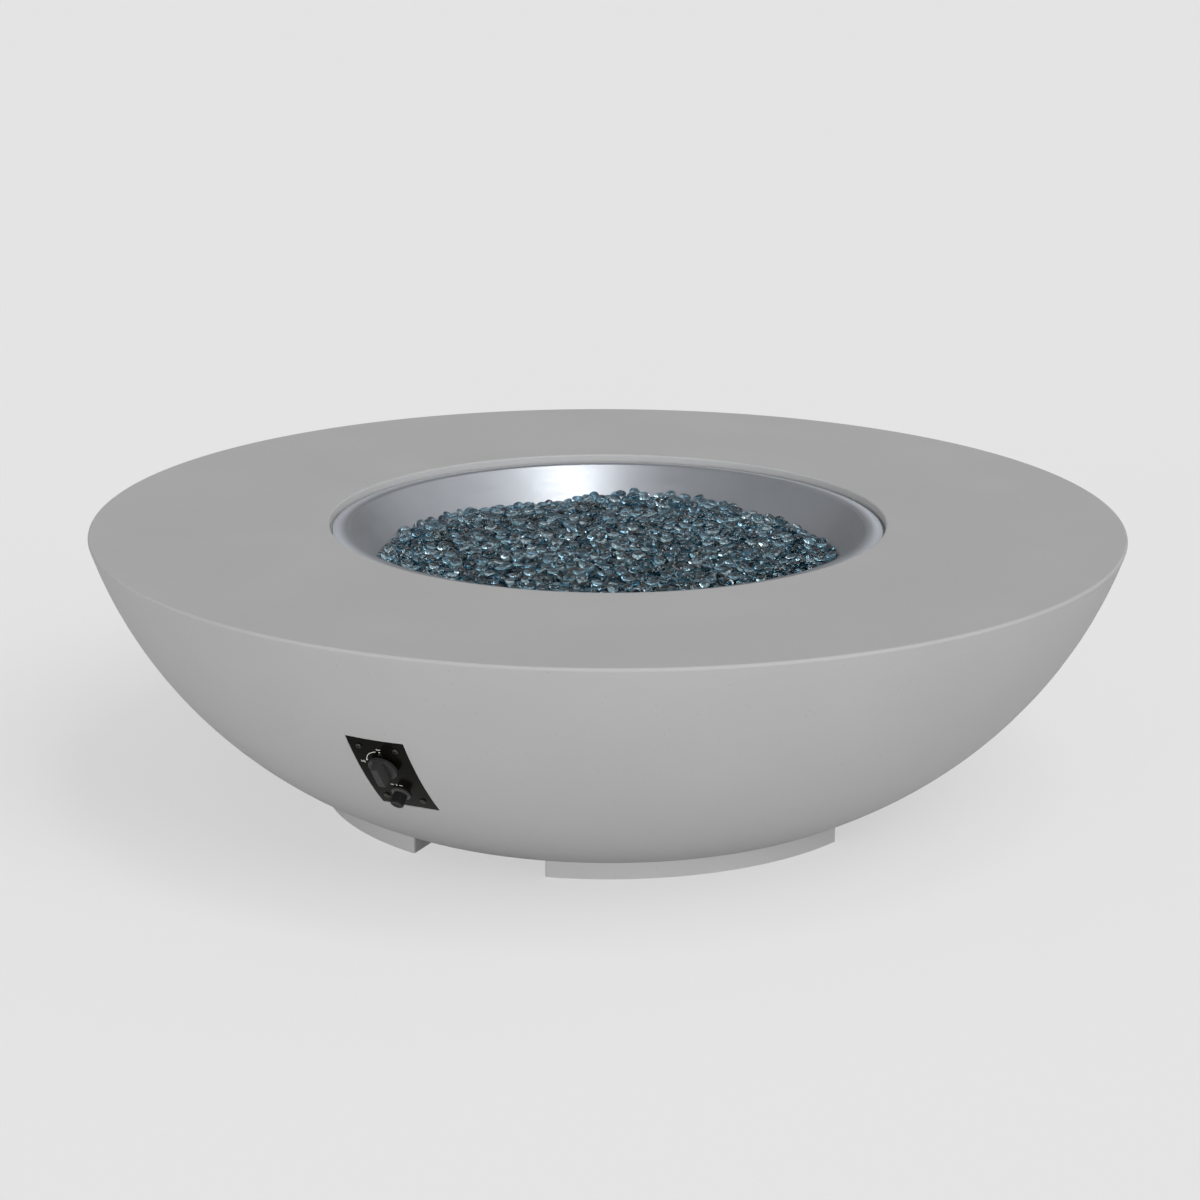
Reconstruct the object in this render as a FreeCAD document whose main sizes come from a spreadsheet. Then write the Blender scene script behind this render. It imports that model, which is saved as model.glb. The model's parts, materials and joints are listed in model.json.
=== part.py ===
# Floor-standing gas fire pit: a stone bowl with a drop-in burner pan and a gas control plate.
#
# Millimetres. The origin is on the floor under the bowl's centre, +Z is up, and the control
# plate faces -Y. Pieces on the control plate are drawn about their own axis, with z = 0 at the
# plate's front face and +z pointing out of the bowl, and are then turned into place.

import FreeCAD, Part
import math
import os
import re

import Sketcher

V = FreeCAD.Vector
X_AXIS = V(1, 0, 0)
Y_AXIS = V(0, 1, 0)
Z_AXIS = V(0, 0, 1)
SAME = 0.01         # two lengths closer than this count as equal
ARC_SHARE = 0.45    # share of a line's shorter run that its corner arc takes
HALF_TURN = 0.5     # length of one helix segment, in turns
SUNFLOWER_TURN = math.pi * (3 - math.sqrt(5))
SUNFLOWER_START = 0.5       # the first seed's place along a sunflower pattern, in seeds
SUNFLOWER_SPACING = 1.63    # least distance between two seeds of a sunflower pattern, in steps

# Driving dimensions, in millimetres and degrees. Each can be changed by itself.
SIZES = {
    # Bowl: its side is one arc from the rim down to the base.
    "rim_dia": 1524,
    "pit_height": 408,
    "base_dia": 852.4,
    "curve_r": 641.4,
    "wall": 22,
    "slab": 34,
    "opening_dia": 822,
    "ledge_depth": 16,
    "ledge_width": 25,
    "service_hole_dia": 360,
    "rim_round": 3.5,
    "opening_round": 3,
    # Feet
    "foot_height": 24,
    "foot_width": 178,
    "channel_width": 206,
    "foot_round": 3,
    "foot_bolt_ring": 680,
    "foot_bolt_spread": 26,
    "foot_bolt_dia": 8,
    "foot_bolt_head_dia": 13,
    "foot_bolt_head_height": 8,
    "foot_bolt_key": 6,
    "foot_bolt_sink": 12,
    "foot_bolt_sink_dia": 17,
    "foot_bolt_spare": 3,
    "foot_washer_dia": 20,
    "foot_washer_thickness": 1.6,
    "foot_nut_key": 13,
    "foot_nut_height": 6.5,
    "bolt_play": 0.5,
    # Burner pan, glass and gasket
    "pan_dia": 813,
    "pan_edge_depth": 11.4,
    "pan_flange_width": 24.1,
    "pan_flange_slope": 8.5,
    "pan_wall_angle": 45,
    "pan_depth": 100,
    "pan_sheet": 1.5,
    "pan_bend": 4,
    "weep_hole_dia": 8,
    "weep_ring": 460,
    "gasket_width": 12,
    "gasket_inset": 4,
    "bed_edge_depth": 55,
    "bed_top_depth": 40,
    "bed_gap": 0.4,
    "pebble_dia": 17.2,
    "pebble_rise": 5.5,
    "pebble_gap": 0.2,
    # Burner
    "outer_ring_dia": 400,
    "inner_ring_dia": 200,
    "burner_tube_dia": 19,
    "burner_tube_wall": 1.2,
    "burner_lift": 14,
    "hub_dia": 50,
    "hub_height": 28,
    "hub_cap": 6,
    "port_dia": 3,
    "outer_ports": 32,
    "inner_ports": 16,
    "nipple_dia": 21.3,
    "nipple_bore": 15.8,
    "nipple_grip": 14,
    "nipple_drop": 47,
    "nipple_washer_dia": 40,
    "nipple_washer_thickness": 2,
    "locknut_key": 32,
    "locknut_height": 7,
    "mixer_dia": 31,
    "mixer_length": 60,
    "mixer_throat": 14,
    "mixer_hole_dia": 9,
    "mixer_hole_rise": 26,
    "mixer_grip": 16,
    # Gas fittings
    "flare_dia": 16,
    "flare_length": 12,
    "flare_bore": 8,
    "flare_key": 24,
    "flare_nut_length": 20,
    "flare_shoulder": 8,
    "line_dia": 14,
    "orifice_dia": 2.4,
    "inlet_ring": 323.2,
    "inlet_bearing": 248.2,
    "inlet_shelf_rise": 64,
    "inlet_thread_dia": 19,
    "inlet_tail": 23,
    "inlet_nut_key": 27,
    "inlet_nut_height": 7.5,
    "bracket_sheet": 3,
    "bracket_width": 44,
    "bracket_foot_start": 190,
    "bracket_foot_length": 48,
    "bracket_screw_dia": 6,
    "bracket_screw_spacing": 26,
    "bracket_screw_inset": 30,
    "bracket_screw_length": 16,
    # Control plate; distances down are measured along the plate from its top edge
    "plate_width": 85,
    "plate_length": 154,
    "plate_thickness": 3,
    "plate_recess": 1,
    "plate_top_angle": 31.4,
    "plate_gap": 0.8,
    "plate_screw_span": 54.6,
    "plate_screw_top": 16.1,
    "plate_screw_bottom": 131.3,
    "plate_screw_dia": 5,
    "plate_screw_head_dia": 8.4,
    "plate_screw_head_height": 2.6,
    "plate_screw_key": 3,
    "plate_screw_length": 14,
    "insert_dia": 8,
    "insert_length": 11,
    "window_width": 60,
    "window_gap": 1.2,
    "window_bottom_down": 103,
    # Gas valve
    "knob_down": 50.3,
    "valve_flange_width": 34,
    "valve_flange_length": 48,
    "valve_flange_thickness": 5,
    "valve_flange_round": 6,
    "valve_seat_gap": 0.5,
    "valve_barrel_dia": 32,
    "valve_screw_spread": 37.8,
    "valve_screw_dia": 4,
    "valve_screw_head_dia": 6.4,
    "valve_screw_head_height": 1,
    "valve_screw_length": 12,
    "gland_dia": 22,
    "gland_bottom": 12,
    "stem_dia": 8,
    "stem_flat": 1.5,
    "stem_top": 16,
    "stem_collar_dia": 13,
    "stem_collar_height": 2.8,
    "stem_hole_dia": 10,
    "tongue_width": 7.6,
    "tongue_thickness": 3,
    "tongue_end": 34,
    "plug_top": 18,
    "plug_top_dia": 19,
    "plug_bottom": 52,
    "plug_bottom_dia": 15,
    "plug_spring_seat": 28,
    "plug_spring_bore": 14,
    "plug_slot_end": 39,
    "plug_port_dia": 6,
    "plug_passage_dia": 5,
    "outlet_depth": 45,
    "inlet_depth": 58,
    "chamber_dia": 14,
    "chamber_bottom": 64,
    "valve_bottom": 68,
    "port_reach": 32,
    "magnet_dia": 18,
    "magnet_length": 22,
    "thermocouple_nut_key": 10,
    "thermocouple_nut_height": 8,
    "spring_coil_dia": 11.2,
    "spring_wire": 1,
    "spring_pitch": 3.2,
    "spring_seat_gap": 0.3,
    # Knob
    "knob_dia": 40.7,
    "knob_gap": 4.5,
    "knob_skirt_height": 5.5,
    "knob_skirt_rise": 1.2,
    "knob_front": 24,
    "knob_bar_width": 15,
    "knob_bar_taper": 7,
    "knob_round": 1,
    "knob_hollow_dia": 30,
    "knob_hollow_depth": 2.5,
    # Igniter
    "igniter_down": 117.6,
    "igniter_collar_dia": 26.8,
    "igniter_collar_height": 4,
    "igniter_collar_bevel": 1.6,
    "igniter_thread_dia": 23.2,
    "igniter_thread_length": 26,
    "igniter_tube_dia": 18,
    "igniter_end": 84,
    "igniter_mouth_dia": 19.8,
    "igniter_mouth_depth": 7,
    "igniter_bore_dia": 14.8,
    "igniter_bore_end": 79,
    "igniter_nut_key": 30,
    "igniter_nut_height": 6,
    "button_dia": 19,
    "button_front": 19,
    "button_back": 1.5,
    "button_stem_end": 12,
    "button_rib_dia": 1.4,
    "button_ribs": 24,
    "button_dish": 1.2,
    "battery_dia": 14.2,
    "battery_length": 50,
    "battery_nub_dia": 5.4,
    "battery_nub_height": 1.4,
    "igniter_spring_pitch": 3.4,
    # Pilot assembly under the glass
    "pilot_offset": 5,
    "pilot_spread": 28,
    "pilot_shelf_rise": 18,
    "pilot_bracket_width": 50,
    "pilot_shelf_length": 20,
    "pilot_foot_length": 22,
    "pilot_sheet": 1.5,
    "pilot_screw_dia": 4,
    "pilot_screw_head_dia": 7,
    "pilot_screw_head_height": 2,
    "pilot_screw_spacing": 34,
    "pilot_nut_key": 7,
    "pilot_nut_height": 3,
    "insulator_dia": 7,
    "insulator_collar_dia": 10,
    "insulator_collar_height": 3,
    "insulator_rise": 38,
    "electrode_dia": 2.4,
    "electrode_rise": 49,
    "electrode_grip": 12,
    "probe_dia": 4.8,
    "probe_collar_dia": 8,
    "probe_rise": 47,
    "sensor_drop": 10,
    "cage_width": 60,
    "cage_before_pilot": 24,
    "cage_behind_pilot": 37,
    "cage_height": 53,
    "cage_sheet": 1,
    "cage_slot_width": 3,
    "cage_slot_pitch": 8,
    "cage_slot_share": 0.6,
    "lead_dia": 4,
    "thermocouple_lead_dia": 3,
    # Screw heads, as shares of the head's own height and width
    "screw_edge_share": 0.45,
    "screw_crown_share": 0.72,
    "screw_socket_share": 0.6,
    # Fits
    "running_gap": 0.05,
    "fit_gap": 0.05,
}

# Values worked out from the driving dimensions, as formulas over them.
DERIVED = {
    "rim_r": "rim_dia/2",
    "base_r": "base_dia/2",
    "side_height": "pit_height - foot_height",
    "side_chord": "sqrt((rim_r - base_r)^2 + side_height^2)",
    "centre_off_chord": "sqrt(curve_r^2 - side_chord^2/4)",
    "curve_centre_reach": "(rim_r + base_r)/2 - centre_off_chord*side_height/side_chord",
    "curve_z": "(pit_height + foot_height)/2 + centre_off_chord*(rim_r - base_r)/side_chord",
    "inner_curve_r": "curve_r - wall",
    "inside_z": "foot_height + wall",
    "inside_r": "curve_centre_reach + sqrt(inner_curve_r^2 - (curve_z - inside_z)^2)",
    "ceiling_z": "pit_height - slab",
    "ceiling_r": "curve_centre_reach + sqrt(inner_curve_r^2 - (curve_z - ceiling_z)^2)",
    "ledge_z": "pit_height - ledge_depth",
    "ledge_r": "opening_dia/2 - ledge_width",
    "pan_edge_z": "pit_height - pan_edge_depth",
    "crease_r": "pan_dia/2 - pan_flange_width",
    "crease_z": "pan_edge_z + pan_flange_width*tan(pan_flange_slope)",
    "pan_floor_z": "pit_height - pan_depth",
    "pan_floor_r": "crease_r - (crease_z - pan_floor_z)/tan(pan_wall_angle)",
    "pan_under_z": "pan_floor_z - pan_sheet",
    "bed_edge_z": "pit_height - bed_edge_depth",
    "bed_top_z": "pit_height - bed_top_depth",
    "bed_inset": "bed_gap/sin(pan_wall_angle)",
    "bed_edge_r": "pan_floor_r + (bed_edge_z - pan_floor_z)/tan(pan_wall_angle) - bed_inset",
    "bed_crown": "bed_top_z - bed_edge_z",
    "bed_dome_r": "(bed_edge_r^2 + bed_crown^2)/(2*bed_crown)",
    "bed_spread_r": "bed_edge_r + pebble_dia",
    "bed_spread_z": "bed_top_z - bed_dome_r + sqrt(bed_dome_r^2 - bed_spread_r^2)",
    "bed_room_r": "pan_floor_r - bed_inset",
    "pebble_ball_r": "(pebble_dia^2/4 + pebble_rise^2)/(2*pebble_rise)",
    "burner_z": "pan_floor_z + burner_lift",
    "nipple_top_z": "pan_floor_z + nipple_grip",
    "nipple_bottom_z": "pan_under_z - nipple_drop",
    "mixer_top_z": "nipple_bottom_z + mixer_grip",
    "mixer_bottom_z": "mixer_top_z - mixer_length",
    "locknut_top_z": "pan_under_z - nipple_washer_thickness",
    "orifice_tip_z": "mixer_bottom_z - flare_shoulder - flare_length",
    "shelf_z": "inside_z + inlet_shelf_rise",
    "inlet_top_z": "shelf_z + flare_shoulder + flare_length",
    "inlet_neck_z": "shelf_z - bracket_sheet - inlet_nut_height",
    "inlet_r": "inlet_ring/2",
    "plate_r": "curve_r - plate_recess",
    "seat_r": "plate_r - plate_thickness",
    "plate_bottom_angle": "plate_top_angle + plate_length/plate_r*180/pi",
    "plate_gap_angle": "plate_gap/plate_r*180/pi",
    "window_top_down": "knob_down - valve_flange_length/2 - window_gap",
    "nut_window_half": "igniter_nut_key/2/cos(30) + window_gap",
    "valve_top": "plate_thickness + valve_seat_gap",
    "collar_top": "gland_bottom + running_gap",
    "collar_bottom": "collar_top + stem_collar_height",
    "magnet_end": "valve_bottom + magnet_length",
    "knob_skirt_top": "knob_gap + knob_skirt_height",
    "battery_top": "igniter_bore_end - battery_length",
    "button_stem_dia": "igniter_bore_dia - 2*running_gap",
    "pilot_reach": "(outer_ring_dia + inner_ring_dia)/4 - pilot_offset",
    "pilot_shelf_z": "pan_floor_z + pilot_shelf_rise",
    "pilot_shelf_top": "pilot_shelf_z + pilot_sheet",
    "insulator_top": "pan_floor_z + insulator_rise",
    "electrode_top": "pan_floor_z + electrode_rise",
    "probe_top": "pan_floor_z + probe_rise",
    "sensor_end": "pan_floor_z - sensor_drop",
    "cage_front": "pilot_reach - cage_before_pilot",
    "cage_back": "pilot_reach + cage_behind_pilot",
    "cage_top": "pan_floor_z + cage_height",
}

doc = FreeCAD.newDocument("gas_fire_pit")
dims = doc.addObject("Spreadsheet::Sheet", "dims")
for row, (size_name, size) in enumerate(SIZES.items(), start=1):
    dims.set(f"A{row}", size_name)
    dims.set(f"B{row}", str(size))
    dims.setAlias(f"B{row}", size_name)
doc.recompute()

SUBPARTS = []


# ---------------------------------------------------------------- formulas

def formula(text):
    """Return text as a FreeCAD expression that reads the driving dimensions."""
    def swap(match):
        word = match[0]
        if word in SIZES:
            return "dims." + word
        if word in DERIVED:
            return "(" + formula(DERIVED[word]) + ")"
        return word
    return re.sub(r"[a-z_]+", swap, str(text))


def number(text):
    """Return the present value of a formula."""
    result = dims.evalExpression(formula(text))
    return float(getattr(result, "Value", result))


def bind(item, **formulas):
    """Bind properties to formulas; a double underscore stands for a dot."""
    for key, text in formulas.items():
        item.setExpression(key.replace("__", "."), formula(text))


def place(item, x="0", y="0", z="0", turn="0", axis=Z_AXIS):
    """Bind an item's position, and its turn about axis when there is one."""
    spot = V(number(x), number(y), number(z))
    item.Placement = FreeCAD.Placement(spot, FreeCAD.Rotation(axis, number(turn)))
    bind(item, Placement__Base__x=x, Placement__Base__y=y, Placement__Base__z=z)
    if turn != "0":
        bind(item, Placement__Rotation__Angle=turn)


def panel_angle(down):
    """Return the angle below horizontal of a point that far down the plate."""
    return f"(plate_top_angle + ({down})/plate_r*180/pi)"


def place_on_panel(item, down, across="0"):
    """Stand an item drawn about +Z on the plate's front face, pointing outwards."""
    angle = panel_angle(down)
    y = f"-curve_centre_reach - plate_r*cos({angle})"
    z = f"curve_z - plate_r*sin({angle})"
    place(item, across, y, z, f"90 + {angle}", X_AXIS)


def panel_point(down, depth, across="0"):
    """Return the place of a point behind the plate's front face, in the object's frame."""
    angle = panel_angle(down)
    y = f"-curve_centre_reach - (plate_r - ({depth}))*cos({angle})"
    z = f"curve_z - (plate_r - ({depth}))*sin({angle})"
    return V(number(across), number(y), number(z))


def panel_outwards(down):
    """Return the unit vector that points out of the plate there."""
    angle = math.radians(number(panel_angle(down)))
    return V(0, -math.cos(angle), -math.sin(angle))


# ---------------------------------------------------------------- sketches and features

def keep(item, label):
    """Name a finished sub-part and list it for export."""
    item.Label = label
    SUBPARTS.append(item)
    return item


def new_body(name):
    return doc.addObject("PartDesign::Body", name)


def origin_feature(body, role):
    return next(item for item in body.Origin.OriginFeatures if item.Role == role)


def new_sketch(body, role, lift="0"):
    """Add a sketch on one of the body's origin planes, lifted along the plane's normal."""
    sketch = body.newObject("Sketcher::SketchObject", body.Name + "_sketch")
    sketch.AttachmentSupport = (origin_feature(body, role), [""])
    sketch.MapMode = "FlatFace"
    if lift != "0":
        bind(sketch, AttachmentOffset__Base__z=lift)
    return sketch


def fix_length(sketch, kind, *where, text):
    """Add a dimension to a sketch and bind it to a formula."""
    index = sketch.addConstraint(Sketcher.Constraint(kind, *where, number(text)))
    sketch.setExpression(f"Constraints[{index}]", formula(text))


def arc_between(start, end, radius, turn):
    """Return the short arc from start to end, turning left (+1) or right (-1)."""
    chord = end - start
    rise = math.sqrt(radius ** 2 - (chord.Length / 2) ** 2)
    centre = (start + end) * 0.5 + V(-chord.y, chord.x, 0).normalize() * rise * turn
    first, last = (start, end) if turn > 0 else (end, start)
    angles = [math.atan2(point.y - centre.y, point.x - centre.x) for point in (first, last)]
    if angles[1] < angles[0]:
        angles[1] += 2 * math.pi
    return Part.ArcOfCircle(Part.Circle(centre, Z_AXIS, radius), *angles)


def add_loop(sketch, corners):
    """Draw a closed outline. A corner (x, y, radius, turn) starts an arc to the next corner."""
    points = [V(number(corner[0]), number(corner[1]), 0) for corner in corners]
    edges = []
    for index, corner in enumerate(corners):
        start, end = points[index], points[(index + 1) % len(points)]
        if len(corner) == 2:
            edges.append((sketch.addGeometry(Part.LineSegment(start, end)), 1, 2))
        else:
            arc = arc_between(start, end, number(corner[2]), corner[3])
            ends = (1, 2) if corner[3] > 0 else (2, 1)
            edges.append((sketch.addGeometry(arc), *ends))
    for index, (edge, _, end) in enumerate(edges):
        following, start, _ = edges[(index + 1) % len(edges)]
        sketch.addConstraint(Sketcher.Constraint("Coincident", edge, end, following, start))
    for (edge, start, _), corner in zip(edges, corners):
        fix_length(sketch, "DistanceX", -1, 1, edge, start, text=corner[0])
        fix_length(sketch, "DistanceY", -1, 1, edge, start, text=corner[1])
        if len(corner) == 4:
            fix_length(sketch, "Radius", edge, text=corner[2])


def add_circle(sketch, diameter, x="0", y="0"):
    circle = Part.Circle(V(number(x), number(y), 0), Z_AXIS, number(diameter) / 2)
    edge = sketch.addGeometry(circle)
    fix_length(sketch, "DistanceX", -1, 1, edge, 3, text=x)
    fix_length(sketch, "DistanceY", -1, 1, edge, 3, text=y)
    fix_length(sketch, "Diameter", edge, text=diameter)


def add_hexagon(sketch, key):
    """Draw a hexagon by the distance across its flats."""
    add_loop(sketch, [(f"{key}/2/cos(30)*cos({60 * k})", f"{key}/2/cos(30)*sin({60 * k})") for k in range(6)])


def add_rectangle(sketch, width, height, x="0", y="0"):
    left, right = f"{x} - ({width})/2", f"{x} + ({width})/2"
    low, high = f"{y} - ({height})/2", f"{y} + ({height})/2"
    add_loop(sketch, [(left, low), (right, low), (right, high), (left, high)])


def pad(body, sketch, length, symmetric=False, reverse=False):
    feature = body.newObject("PartDesign::Pad", body.Name + "_pad")
    feature.Profile = sketch
    feature.SideType = "Symmetric" if symmetric else "One side"
    feature.Reversed = reverse
    bind(feature, Length=length)
    body.Tip = feature
    return feature


def turn(body, sketch, kind="Revolution"):
    feature = body.newObject("PartDesign::" + kind, body.Name + "_turn")
    feature.Profile = sketch
    feature.ReferenceAxis = (sketch, ["V_Axis"])
    feature.Angle = 360
    body.Tip = feature
    return feature


def cutting(body, make):
    """Run a cut and check that it took material away."""
    doc.recompute()
    before = body.Shape.Volume
    feature = make()
    doc.recompute()
    if body.Shape.Volume >= before:
        raise RuntimeError(f"a cut in {body.Name} removed nothing")
    return feature


def pocket(body, sketch, length, symmetric=False, reverse=False):
    """Cut a sketch into the body: against the sketch's normal, or along it when reversed."""
    def make():
        feature = body.newObject("PartDesign::Pocket", body.Name + "_pocket")
        feature.Profile = sketch
        feature.SideType = "Symmetric" if symmetric else "One side"
        feature.Reversed = reverse
        bind(feature, Length=length)
        body.Tip = feature
        return feature
    return cutting(body, make)


def groove(body, corners):
    sketch = new_sketch(body, "XZ_Plane")
    add_loop(sketch, corners)
    return cutting(body, lambda: turn(body, sketch, "Groove"))


def around(body, feature, count):
    """Repeat a feature evenly about the body's Z axis."""
    pattern = body.newObject("PartDesign::PolarPattern", body.Name + "_pattern")
    pattern.Originals = [feature]
    pattern.Axis = (origin_feature(body, "Z_Axis"), [""])
    pattern.Angle = 360
    if isinstance(count, int):
        pattern.Occurrences = count
    else:
        pattern.Occurrences = int(number(count))
        bind(pattern, Occurrences=count)
    body.Tip = pattern
    return pattern


def round_edges(body, radius, chosen):
    """Fillet the edges of the body that the chosen test picks."""
    doc.recompute()
    base = body.Tip
    names = [f"Edge{index}" for index, edge in enumerate(base.Shape.Edges, start=1) if chosen(edge)]
    if not names:
        raise RuntimeError(f"no edge of {body.Name} to round")
    feature = body.newObject("PartDesign::Fillet", body.Name + "_fillet")
    feature.Base = (base, names)
    bind(feature, Radius=radius)
    body.Tip = feature


def is_ring(edge, radius, z):
    """Tell whether an edge is a circle about the Z axis with that radius and height."""
    curve = edge.Curve
    if not isinstance(curve, Part.Circle):
        return False
    on_axis = math.hypot(curve.Center.x, curve.Center.y) < SAME
    return on_axis and abs(curve.Radius - radius) < SAME and abs(curve.Center.z - z) < SAME


def is_upright(edge):
    """Tell whether an edge is a straight line along Z."""
    return isinstance(edge.Curve, Part.Line) and abs(edge.tangentAt(edge.FirstParameter).z) > 0.999


def turned(name, corners):
    """Make a body by turning an outline of (radius, height) corners about Z."""
    body = new_body(name)
    sketch = new_sketch(body, "XZ_Plane")
    add_loop(sketch, corners)
    turn(body, sketch)
    return body


def sleeve(name, outer_dia, inner_dia, bottom, top):
    """Make a plain ring or tube about Z."""
    return turned(name, [
        (f"({inner_dia})/2", bottom), (f"({outer_dia})/2", bottom),
        (f"({outer_dia})/2", top), (f"({inner_dia})/2", top),
    ])


def hex_nut(name, key, bore_dia, bottom, height):
    body = new_body(name)
    sketch = new_sketch(body, "XY_Plane", bottom)
    add_hexagon(sketch, key)
    add_circle(sketch, bore_dia)
    pad(body, sketch, height)
    return body


def screw(name, head_dia, head_height, shank_dia, length, key):
    """Make a screw about Z: head on z = 0 and up, shank below, hexagon socket in the head."""
    body = turned(name, [
        ("0", f"-({length})"), (f"({shank_dia})/2", f"-({length})"), (f"({shank_dia})/2", "0"),
        (f"({head_dia})/2", "0"), (f"({head_dia})/2", f"({head_height})*screw_edge_share"),
        (f"({head_dia})/2*screw_crown_share", head_height), ("0", head_height),
    ])
    sketch = new_sketch(body, "XY_Plane", head_height)
    add_hexagon(sketch, key)
    pocket(body, sketch, f"({head_height})*screw_socket_share")
    return body


def cylinder(name, diameter, height, x="0", y="0", z="0"):
    item = doc.addObject("Part::Cylinder", name)
    bind(item, Radius=f"({diameter})/2", Height=height)
    place(item, x, y, z)
    return item


def lying_cylinder(name, diameter, length, bearing, z):
    """Make a cylinder from the Z axis outwards at a compass bearing, at height z."""
    item = doc.addObject("Part::Cylinder", name)
    bind(item, Radius=f"({diameter})/2", Height=length)
    across = V(-math.sin(math.radians(bearing)), math.cos(math.radians(bearing)), 0)
    place(item, z=z, turn="90", axis=across)
    return item


def joined(name, shapes):
    item = doc.addObject("Part::MultiFuse", name)
    item.Shapes = shapes
    item.Refine = True
    return item


def cut(name, base, tool):
    item = doc.addObject("Part::Cut", name)
    item.Base = base
    item.Tool = tool
    return item


def copies(name, blank, places):
    """Group one placed copy of a blank for each placing function."""
    links = []
    for index, put in enumerate(places):
        link = doc.addObject("App::Link", f"{name}_{index + 1}")
        link.LinkedObject = blank
        put(link)
        links.append(link)
    group = doc.addObject("Part::Compound", name)
    group.Links = links
    return group


# ---------------------------------------------------------------- bowl and feet

def panel_sector(sketch, outer, inner, top, bottom):
    """Draw a strip that follows the bowl's side, between two depths and two angles."""
    def corner(radius, angle):
        return (f"-curve_centre_reach - ({radius})*cos({angle})", f"curve_z - ({radius})*sin({angle})")
    add_loop(sketch, [
        corner(outer, top) + (outer, 1), corner(outer, bottom),
        corner(inner, bottom) + (inner, -1), corner(inner, top),
    ])


def cut_panel_strip(body, outer, inner, top, bottom, width):
    sketch = new_sketch(body, "YZ_Plane")
    panel_sector(sketch, outer, inner, top, bottom)
    pocket(body, sketch, width, symmetric=True)


def foot_bolt_places(z):
    """Return placing functions for the foot bolts' axes, two to each foot."""
    places = []
    for foot in range(4):
        for side in (-1, 1):
            angle = f"({45 + 90 * foot} + {side}*foot_bolt_spread/2)"
            x, y = f"foot_bolt_ring/2*cos{angle}", f"foot_bolt_ring/2*sin{angle}"
            places.append(lambda item, x=x, y=y: place(item, x, y, z))
    return places


def plate_screw_places():
    """Return placing functions for the control plate's corner screws."""
    rows = ("plate_screw_top", "plate_screw_bottom")
    sides = ("-plate_screw_span/2", "plate_screw_span/2")
    return [lambda item, row=row, side=side: place_on_panel(item, row, side)
            for row in rows for side in sides]


def bowl_shell():
    """Cast bowl: side wall, flat top with a stepped opening, floor with a service hole."""
    body = turned("bowl_casting", [
        ("ledge_r", "ledge_z"), ("opening_dia/2", "ledge_z"), ("opening_dia/2", "pit_height"),
        ("rim_r", "pit_height", "curve_r", -1), ("base_r", "foot_height"),
        ("service_hole_dia/2", "foot_height"), ("service_hole_dia/2", "inside_z"),
        ("inside_r", "inside_z", "inner_curve_r", 1), ("ceiling_r", "ceiling_z"),
        ("ledge_r", "ceiling_z"),
    ])
    top, rim, opening = number("pit_height"), number("rim_r"), number("opening_dia/2")
    round_edges(body, "rim_round", lambda edge: is_ring(edge, rim, top))
    round_edges(body, "opening_round", lambda edge: is_ring(edge, opening, top))
    cut_panel_strip(body, "curve_r + wall", "seat_r", "plate_top_angle - plate_gap_angle",
                    "plate_bottom_angle + plate_gap_angle", "plate_width + 2*plate_gap")
    cut_panel_strip(body, "curve_r", "inner_curve_r - wall", panel_angle("window_top_down"),
                    panel_angle("window_bottom_down"), "window_width")
    cut_panel_strip(body, "curve_r", "inner_curve_r - wall", panel_angle("igniter_down - nut_window_half"),
                    panel_angle("igniter_down + nut_window_half"), "2*nut_window_half")
    bolt_hole = cylinder("bowl_bolt_hole", "foot_bolt_dia + 2*bolt_play", "3*wall", z="foot_height - wall")
    insert_hole = cylinder("bowl_insert_hole", "insert_dia + 2*fit_gap", "insert_length + fit_gap",
                           z="-plate_thickness - insert_length - fit_gap")
    anchor_hole = cylinder("bowl_anchor_hole", "bracket_screw_dia + 2*fit_gap", "bracket_screw_length",
                           z="inside_z - bracket_screw_length + bracket_sheet")
    holes = copies("bowl_holes", wrapped(bolt_hole), foot_bolt_places("0"))
    inserts = copies("bowl_insert_holes", wrapped(insert_hole), plate_screw_places())
    anchors = copies("bowl_anchor_holes", wrapped(anchor_hole), bracket_screw_places("0"))
    drilled = cut("bowl_drilled", body, holes)
    fitted = cut("bowl_with_inserts", drilled, inserts)
    keep(cut("bowl_shell", fitted, anchors), "bowl_shell")


def wrapped(item):
    """Return a compound of one item, so that a link to it keeps the item's own place."""
    group = doc.addObject("Part::Compound", item.Name + "_blank")
    group.Links = [item]
    return group


def foot(name, turn_angle):
    """Foot: a quarter of a ring between the two crossing channels under the bowl."""
    body = new_body(name + "_body")
    sketch = new_sketch(body, "XY_Plane")
    inner = "(base_r - foot_width)"
    half = "channel_width/2"
    add_loop(sketch, [
        (f"sqrt(base_r^2 - ({half})^2)", half, "base_r", 1), (half, f"sqrt(base_r^2 - ({half})^2)"),
        (half, f"sqrt({inner}^2 - ({half})^2)", inner, -1), (f"sqrt({inner}^2 - ({half})^2)", half),
    ])
    pad(body, sketch, "foot_height")
    round_edges(body, "foot_round", is_upright)
    holes = new_sketch(body, "XY_Plane")
    sinks = new_sketch(body, "XY_Plane")
    for side in (-1, 1):
        angle = f"(45 + {side}*foot_bolt_spread/2)"
        x, y = f"foot_bolt_ring/2*cos{angle}", f"foot_bolt_ring/2*sin{angle}"
        add_circle(holes, "foot_bolt_dia + 2*bolt_play", x, y)
        add_circle(sinks, "foot_bolt_sink_dia", x, y)
    pocket(body, holes, "foot_height", reverse=True)
    pocket(body, sinks, "foot_bolt_sink", reverse=True)
    if turn_angle:
        place(body, turn=str(turn_angle))
    keep(body, name)


def feet():
    for index, name in enumerate(("back_right", "back_left", "front_left", "front_right")):
        foot("foot_" + name, 90 * index)


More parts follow.
